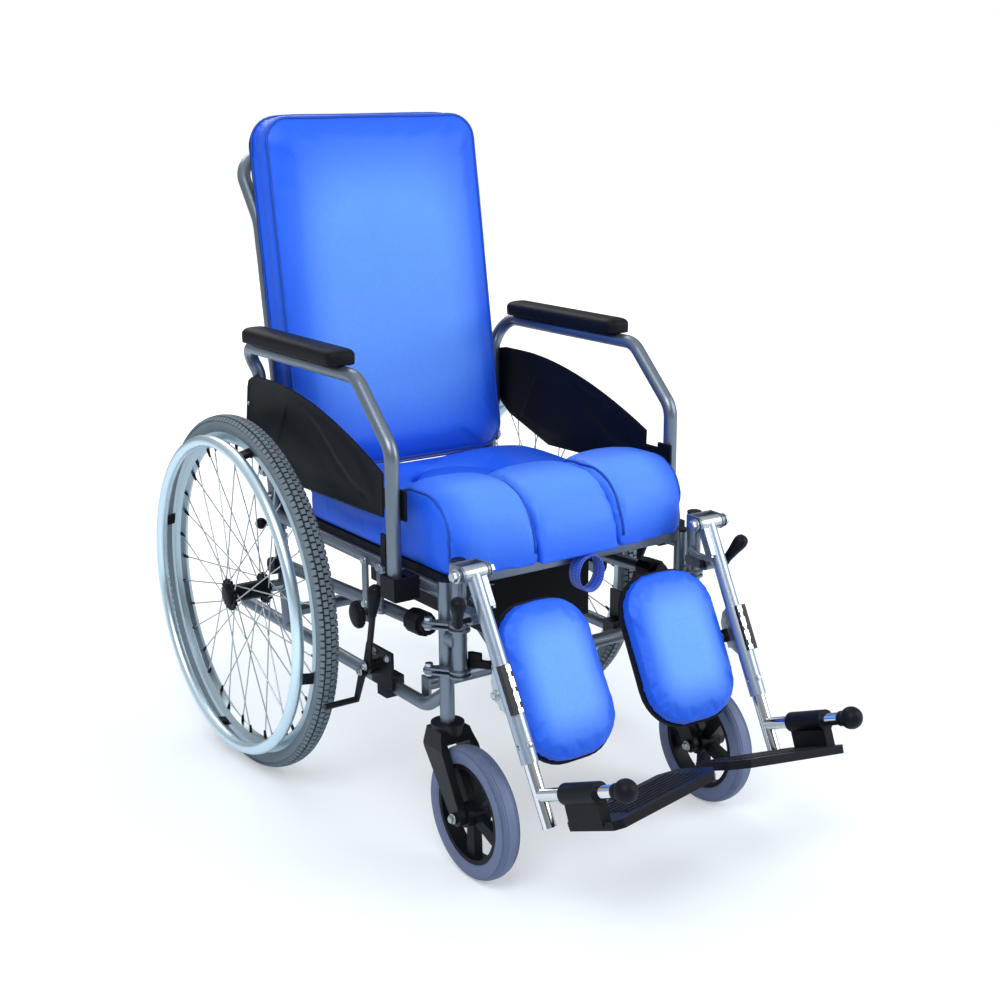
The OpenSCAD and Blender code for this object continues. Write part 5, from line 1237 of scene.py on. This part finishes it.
class CHAIR_OT_grips(Operator):
    """Pear handles, brake grips, ball knobs and the round hand knobs"""

    bl_idname = "chair.grips"
    bl_label = "Grips and knobs"

    def execute(self, context):
        for s, side in SIDES:
            self.pear_handle(s, side)
            self.brake_grip(s, side)
            self.foot_knob(s, side)
            self.hand_knob(s, side)
        return {"FINISHED"}

    def pear_handle(self, s, side):
        start = Vector((RAIL_X + TUBE / 2 + 20, fore(PIVOT_AHEAD + 6), PIVOT_Z - 66))
        way = Vector((13.6, -20, 34.4))
        reach = way.length
        place = at_legrest(s) @ pointing(start, way)
        profile = [(0, -8.5), (5.0, -8.2), (7.2, -6), (7.6, 0), (7.0, 6), (7.4, 12), (9.0, reach * 0.6)]
        profile += [(10.8, reach * 0.85), (11.3, reach), (10.2, reach + 5.4), (7.0, reach + 9.4)]
        profile += [(0, reach + 10.6)]
        body = f"elevation_lever_body_{side}"
        turned_piece(f"elevation_grip_{side}", profile, place, 36, "black_plastic", body)

    def brake_grip(self, s, side):
        base_y = fore(BRAKE_AHEAD) + 8
        top = Vector((262, base_y - 35, BRAKE_Z + 128))
        knee = Vector((LEVER_X + 2, base_y - 8, BRAKE_Z + 31))
        way = (top - knee).normalized()
        place = mirrored(s) @ pointing(top - way * 42, way)
        profile = [(0, -1), (5.6, -1), (6.2, 0.5), (6.6, 6), (8.0, 16), (9.4, 27), (10.5, 38), (10.8, 44)]
        profile += [(9.6, 49), (6.4, 52.4), (0, 53.4)]
        body = f"brake_lever_body_{side}"
        turned_piece(f"brake_grip_{side}", profile, place, 36, "black_plastic", body)

    def foot_knob(self, s, side):
        place = at_foot(s) @ shift(0, -FOOT_REACH, 0) @ turn(90, "X")
        r = 16.4
        angles = [math.radians(a) for a in range(10, 141, 10)]
        profile = [(0, r)] + [(r * math.sin(a), r * math.cos(a)) for a in angles]
        profile += [(11.2, -14.6), (11.2, -21), (10.6, -21.6), (9.7, -21.6)]
        sharpen(turned_piece(f"foot_knob_{side}", profile, place, 40, "black_plastic", f"foot_{side}"), 60)

    def hand_knob(self, s, side):
        face = RAIL_X + TUBE / 2 + 0.4
        place = mirrored(s) @ pointing((face, fore(KNOB_AHEAD), KNOB_Z), (1, 0, 0))
        profile = [(4.4, 0), (12, 0), (20.2, 1.0), (21.4, 2.6), (21.5, 6.0), (20.4, 8.6)]
        profile += [(16, 10.6), (8, 11.8), (0, 12)]
        bm = bmesh.new()
        lathe(bm, [*profile[::-1], (4.4, 0)], place, 48)
        for i in range(24):
            spot = place @ turn(15 * i, "Z") @ shift(21.0, 0, 4.3)
            lathe(bm, [(0, -3), (0.9, -3), (1.1, -2.4), (1.1, 2.4), (0.9, 3), (0, 3)], spot, 8)
        knob = make_piece(f"hand_knob_dome_{side}", bm, "black_plastic", f"hand_knob_body_{side}")
        sharpen(knob, 50)
        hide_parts(f"hand_knob_{side}")


class CHAIR_OT_leg_details(Operator):
    """Notched strips, bracket plates, buttons and caps of the legrests"""

    bl_idname = "chair.leg_details"
    bl_label = "Legrest details"

    def execute(self, context):
        for s, side in SIDES:
            leg = at_leg(s)
            body = f"leg_{side}"
            self.strip(leg, side, body)
            self.bracket(leg, side, body)
            bm = bmesh.new()
            front = [(0, 2.2), (2.6, 2.0), (4.2, 1.2), (4.6, 0), (4.6, -2), (0, -2)]
            rear = [(0, 3.4), (2.2, 3.2), (3.0, 2.2), (3.0, -2), (0, -2)]
            lathe(bm, front, leg @ pointing((0, -12.6, -250), (0, -1, 0)), 28)
            lathe(bm, rear, leg @ pointing((0, 12.4, -252), (0, 1, 0)), 20)
            sharpen(make_piece(f"leg_buttons_{side}", bm, "bright_steel", body))
            barrel = both_ways([(0, -19.2), (9.8, -19.2), (11.2, -18), (11.4, -16)])
            sharpen(turned_piece(f"leg_barrel_{side}", barrel, leg @ turn(90, "Y"), 40, "zinc_steel", body))
            for label, place, owner in (
                ("hanger", at_legrest(s) @ shift(RAIL_X, fore(HANGER_AHEAD), 473), f"legrest_{side}"),
                ("upright", mirrored(s) @ shift(RAIL_X, fore(UPRIGHT_AHEAD), UPRIGHT_TOP - 3), "base"),
            ):
                cap = [(0, 3.6), (6, 3.5), (9.6, 3.1), (11.2, 2.2)]
                cap += [(11.6, 1.2), (11.6, 0), (10.8, -0.4), (0, -0.4)]
                sharpen(turned_piece(f"cap_{label}_{side}", cap, place, 36, "black_plastic", owner))
        return {"FINISHED"}

    def strip(self, leg, side, body):
        """Bright notched strip on a dark bed down the front of the upper leg."""
        bm = bmesh.new()
        strip_z = -171
        block(bm, leg @ shift(3.4, -10.6, strip_z), (18.6, 8.6, 70))
        sharpen(make_piece(f"leg_bed_{side}", bm, "black_paint", body))
        bm = bmesh.new()
        block(bm, leg @ shift(0.6, -15.0, strip_z), (4.2, 1.2, 69))
        for z, run in ((-142, 10), (-162, 15), (-183, 15), (-202, 7)):
            block(bm, leg @ shift(0, -15.2, z), (8.2, 1.8, run))
        bmesh.ops.bevel(bm, geom=[*bm.verts, *bm.edges], offset=0.0004, segments=1, affect="EDGES")
        sharpen(make_piece(f"leg_strip_{side}", bm, "bright_steel", body))

    def bracket(self, leg, side, body):
        """Plated bracket plate behind the strip."""
        outline = [(6, -132), (24, -138), (35, -152), (38, -176), (33, -190), (16, -207), (6, -207)]
        bm = bmesh.new()
        face = bm.faces.new([bm.verts.new(leg @ (Vector((-3.8, y, z)) * MM)) for y, z in outline])
        out = bmesh.ops.extrude_face_region(bm, geom=[face])
        across = (leg.to_3x3() @ Vector((1, 0, 0))) * 4.6 * MM
        raised = [g for g in out["geom"] if isinstance(g, bmesh.types.BMVert)]
        bmesh.ops.translate(bm, verts=raised, vec=across)
        bmesh.ops.recalc_face_normals(bm, faces=bm.faces)
        bmesh.ops.bevel(bm, geom=[*bm.verts, *bm.edges], offset=0.0005, segments=2, affect="EDGES")
        sharpen(make_piece(f"leg_bracket_{side}", bm, "zinc_steel", body))


class CHAIR_OT_fasteners(Operator):
    """Hexagon bolts, nuts and screws on brackets, pivots and axles"""

    bl_idname = "chair.fasteners"
    bl_label = "Fasteners"

    def execute(self, context):
        for s, side in SIDES:
            m = mirrored(s)
            hang = at_legrest(s)
            leg = at_leg(s)
            lever_face, clamp_face = LEVER_X + 6.6, 239.2
            straps = [(RAIL_X + 14, fore(a), z, 9) for a in (298, 343) for z in (348, 417)]
            brake = [
                (lever_face, fore(BRAKE_AHEAD) + 8, BRAKE_Z, 10),
                (lever_face, fore(BRAKE_AHEAD) + 23, BRAKE_Z - 14, 9),
                (clamp_face, fore(BRAKE_AHEAD + 18), BRAKE_Z + 14, 8),
                (clamp_face, fore(BRAKE_AHEAD - 20), BRAKE_Z + 16, 8),
            ]
            fork_face = 37.2
            axle = [((RAIL_X + k * fork_face, fore(CASTER_AHEAD), CASTER_R), (k, 0, 0)) for k in (-1, 1)]
            groups = {
                "base": [(m @ pointing(spot, (1, 0, 0)), across) for *spot, across in straps + brake],
                f"legrest_{side}": [
                    (hang @ pointing((RAIL_X + 29, fore(PIVOT_AHEAD), PIVOT_Z), (1, 0, 0)), 15),
                    (hang @ pointing((RAIL_X - 26.4, fore(PIVOT_AHEAD), PIVOT_Z), (-1, 0, 0)), 15),
                ],
                f"leg_{side}": [
                    (leg @ pointing((0.8, 32, -172), (1, 0, 0)), 11),
                ],
                f"caster_fork_body_{side}": [(m @ pointing(*end), 11) for end in axle],
            }
            for body, spots in groups.items():
                bm = bmesh.new()
                for place, across in spots:
                    hex_bolt(bm, place, across)
                name = f"bolts_{body}_{side}" if body == "base" else f"bolts_{body}"
                sharpen(make_piece(name, bm, "zinc_steel", body), 30)
        return {"FINISHED"}


class CHAIR_PT_panel(Panel):
    """Lists the chair's steps and settings"""

    bl_idname = "CHAIR_PT_panel"
    bl_label = "Commode chair"
    bl_space_type = "VIEW_3D"
    bl_region_type = "UI"
    bl_category = "Chair"

    def draw(self, context):
        for step in STEPS:
            self.layout.operator(step.bl_idname)
        for settings in (colours(), sizes(), context.scene.chair_stage):
            column = self.layout.column(align=True)
            for key in settings.__annotations__:
                column.prop(settings, key)


STEPS = (
    CHAIR_OT_stage,
    CHAIR_OT_frame_finishes,
    CHAIR_OT_upholstery,
    CHAIR_OT_arm_pads,
    CHAIR_OT_pull_loop,
    CHAIR_OT_wheels,
    CHAIR_OT_side_panels,
    CHAIR_OT_grips,
    CHAIR_OT_leg_details,
    CHAIR_OT_fasteners,
)
GROUPS = (("chair_colours", ChairColours), ("chair_sizes", ChairSizes), ("chair_stage", ChairStage))


def register():
    for name, group in GROUPS:
        bpy.utils.register_class(group)
        setattr(bpy.types.Scene, name, PointerProperty(type=group))
    for step in (*STEPS, CHAIR_PT_panel):
        bpy.utils.register_class(step)


def unregister():
    for step in (CHAIR_PT_panel, *reversed(STEPS)):
        bpy.utils.unregister_class(step)
    for name, group in GROUPS:
        delattr(bpy.types.Scene, name)
        bpy.utils.unregister_class(group)


def main():
    register()
    for step in STEPS:
        area, call = step.bl_idname.split(".")
        getattr(getattr(bpy.ops, area), call)()


if __name__ == "__main__":
    main()
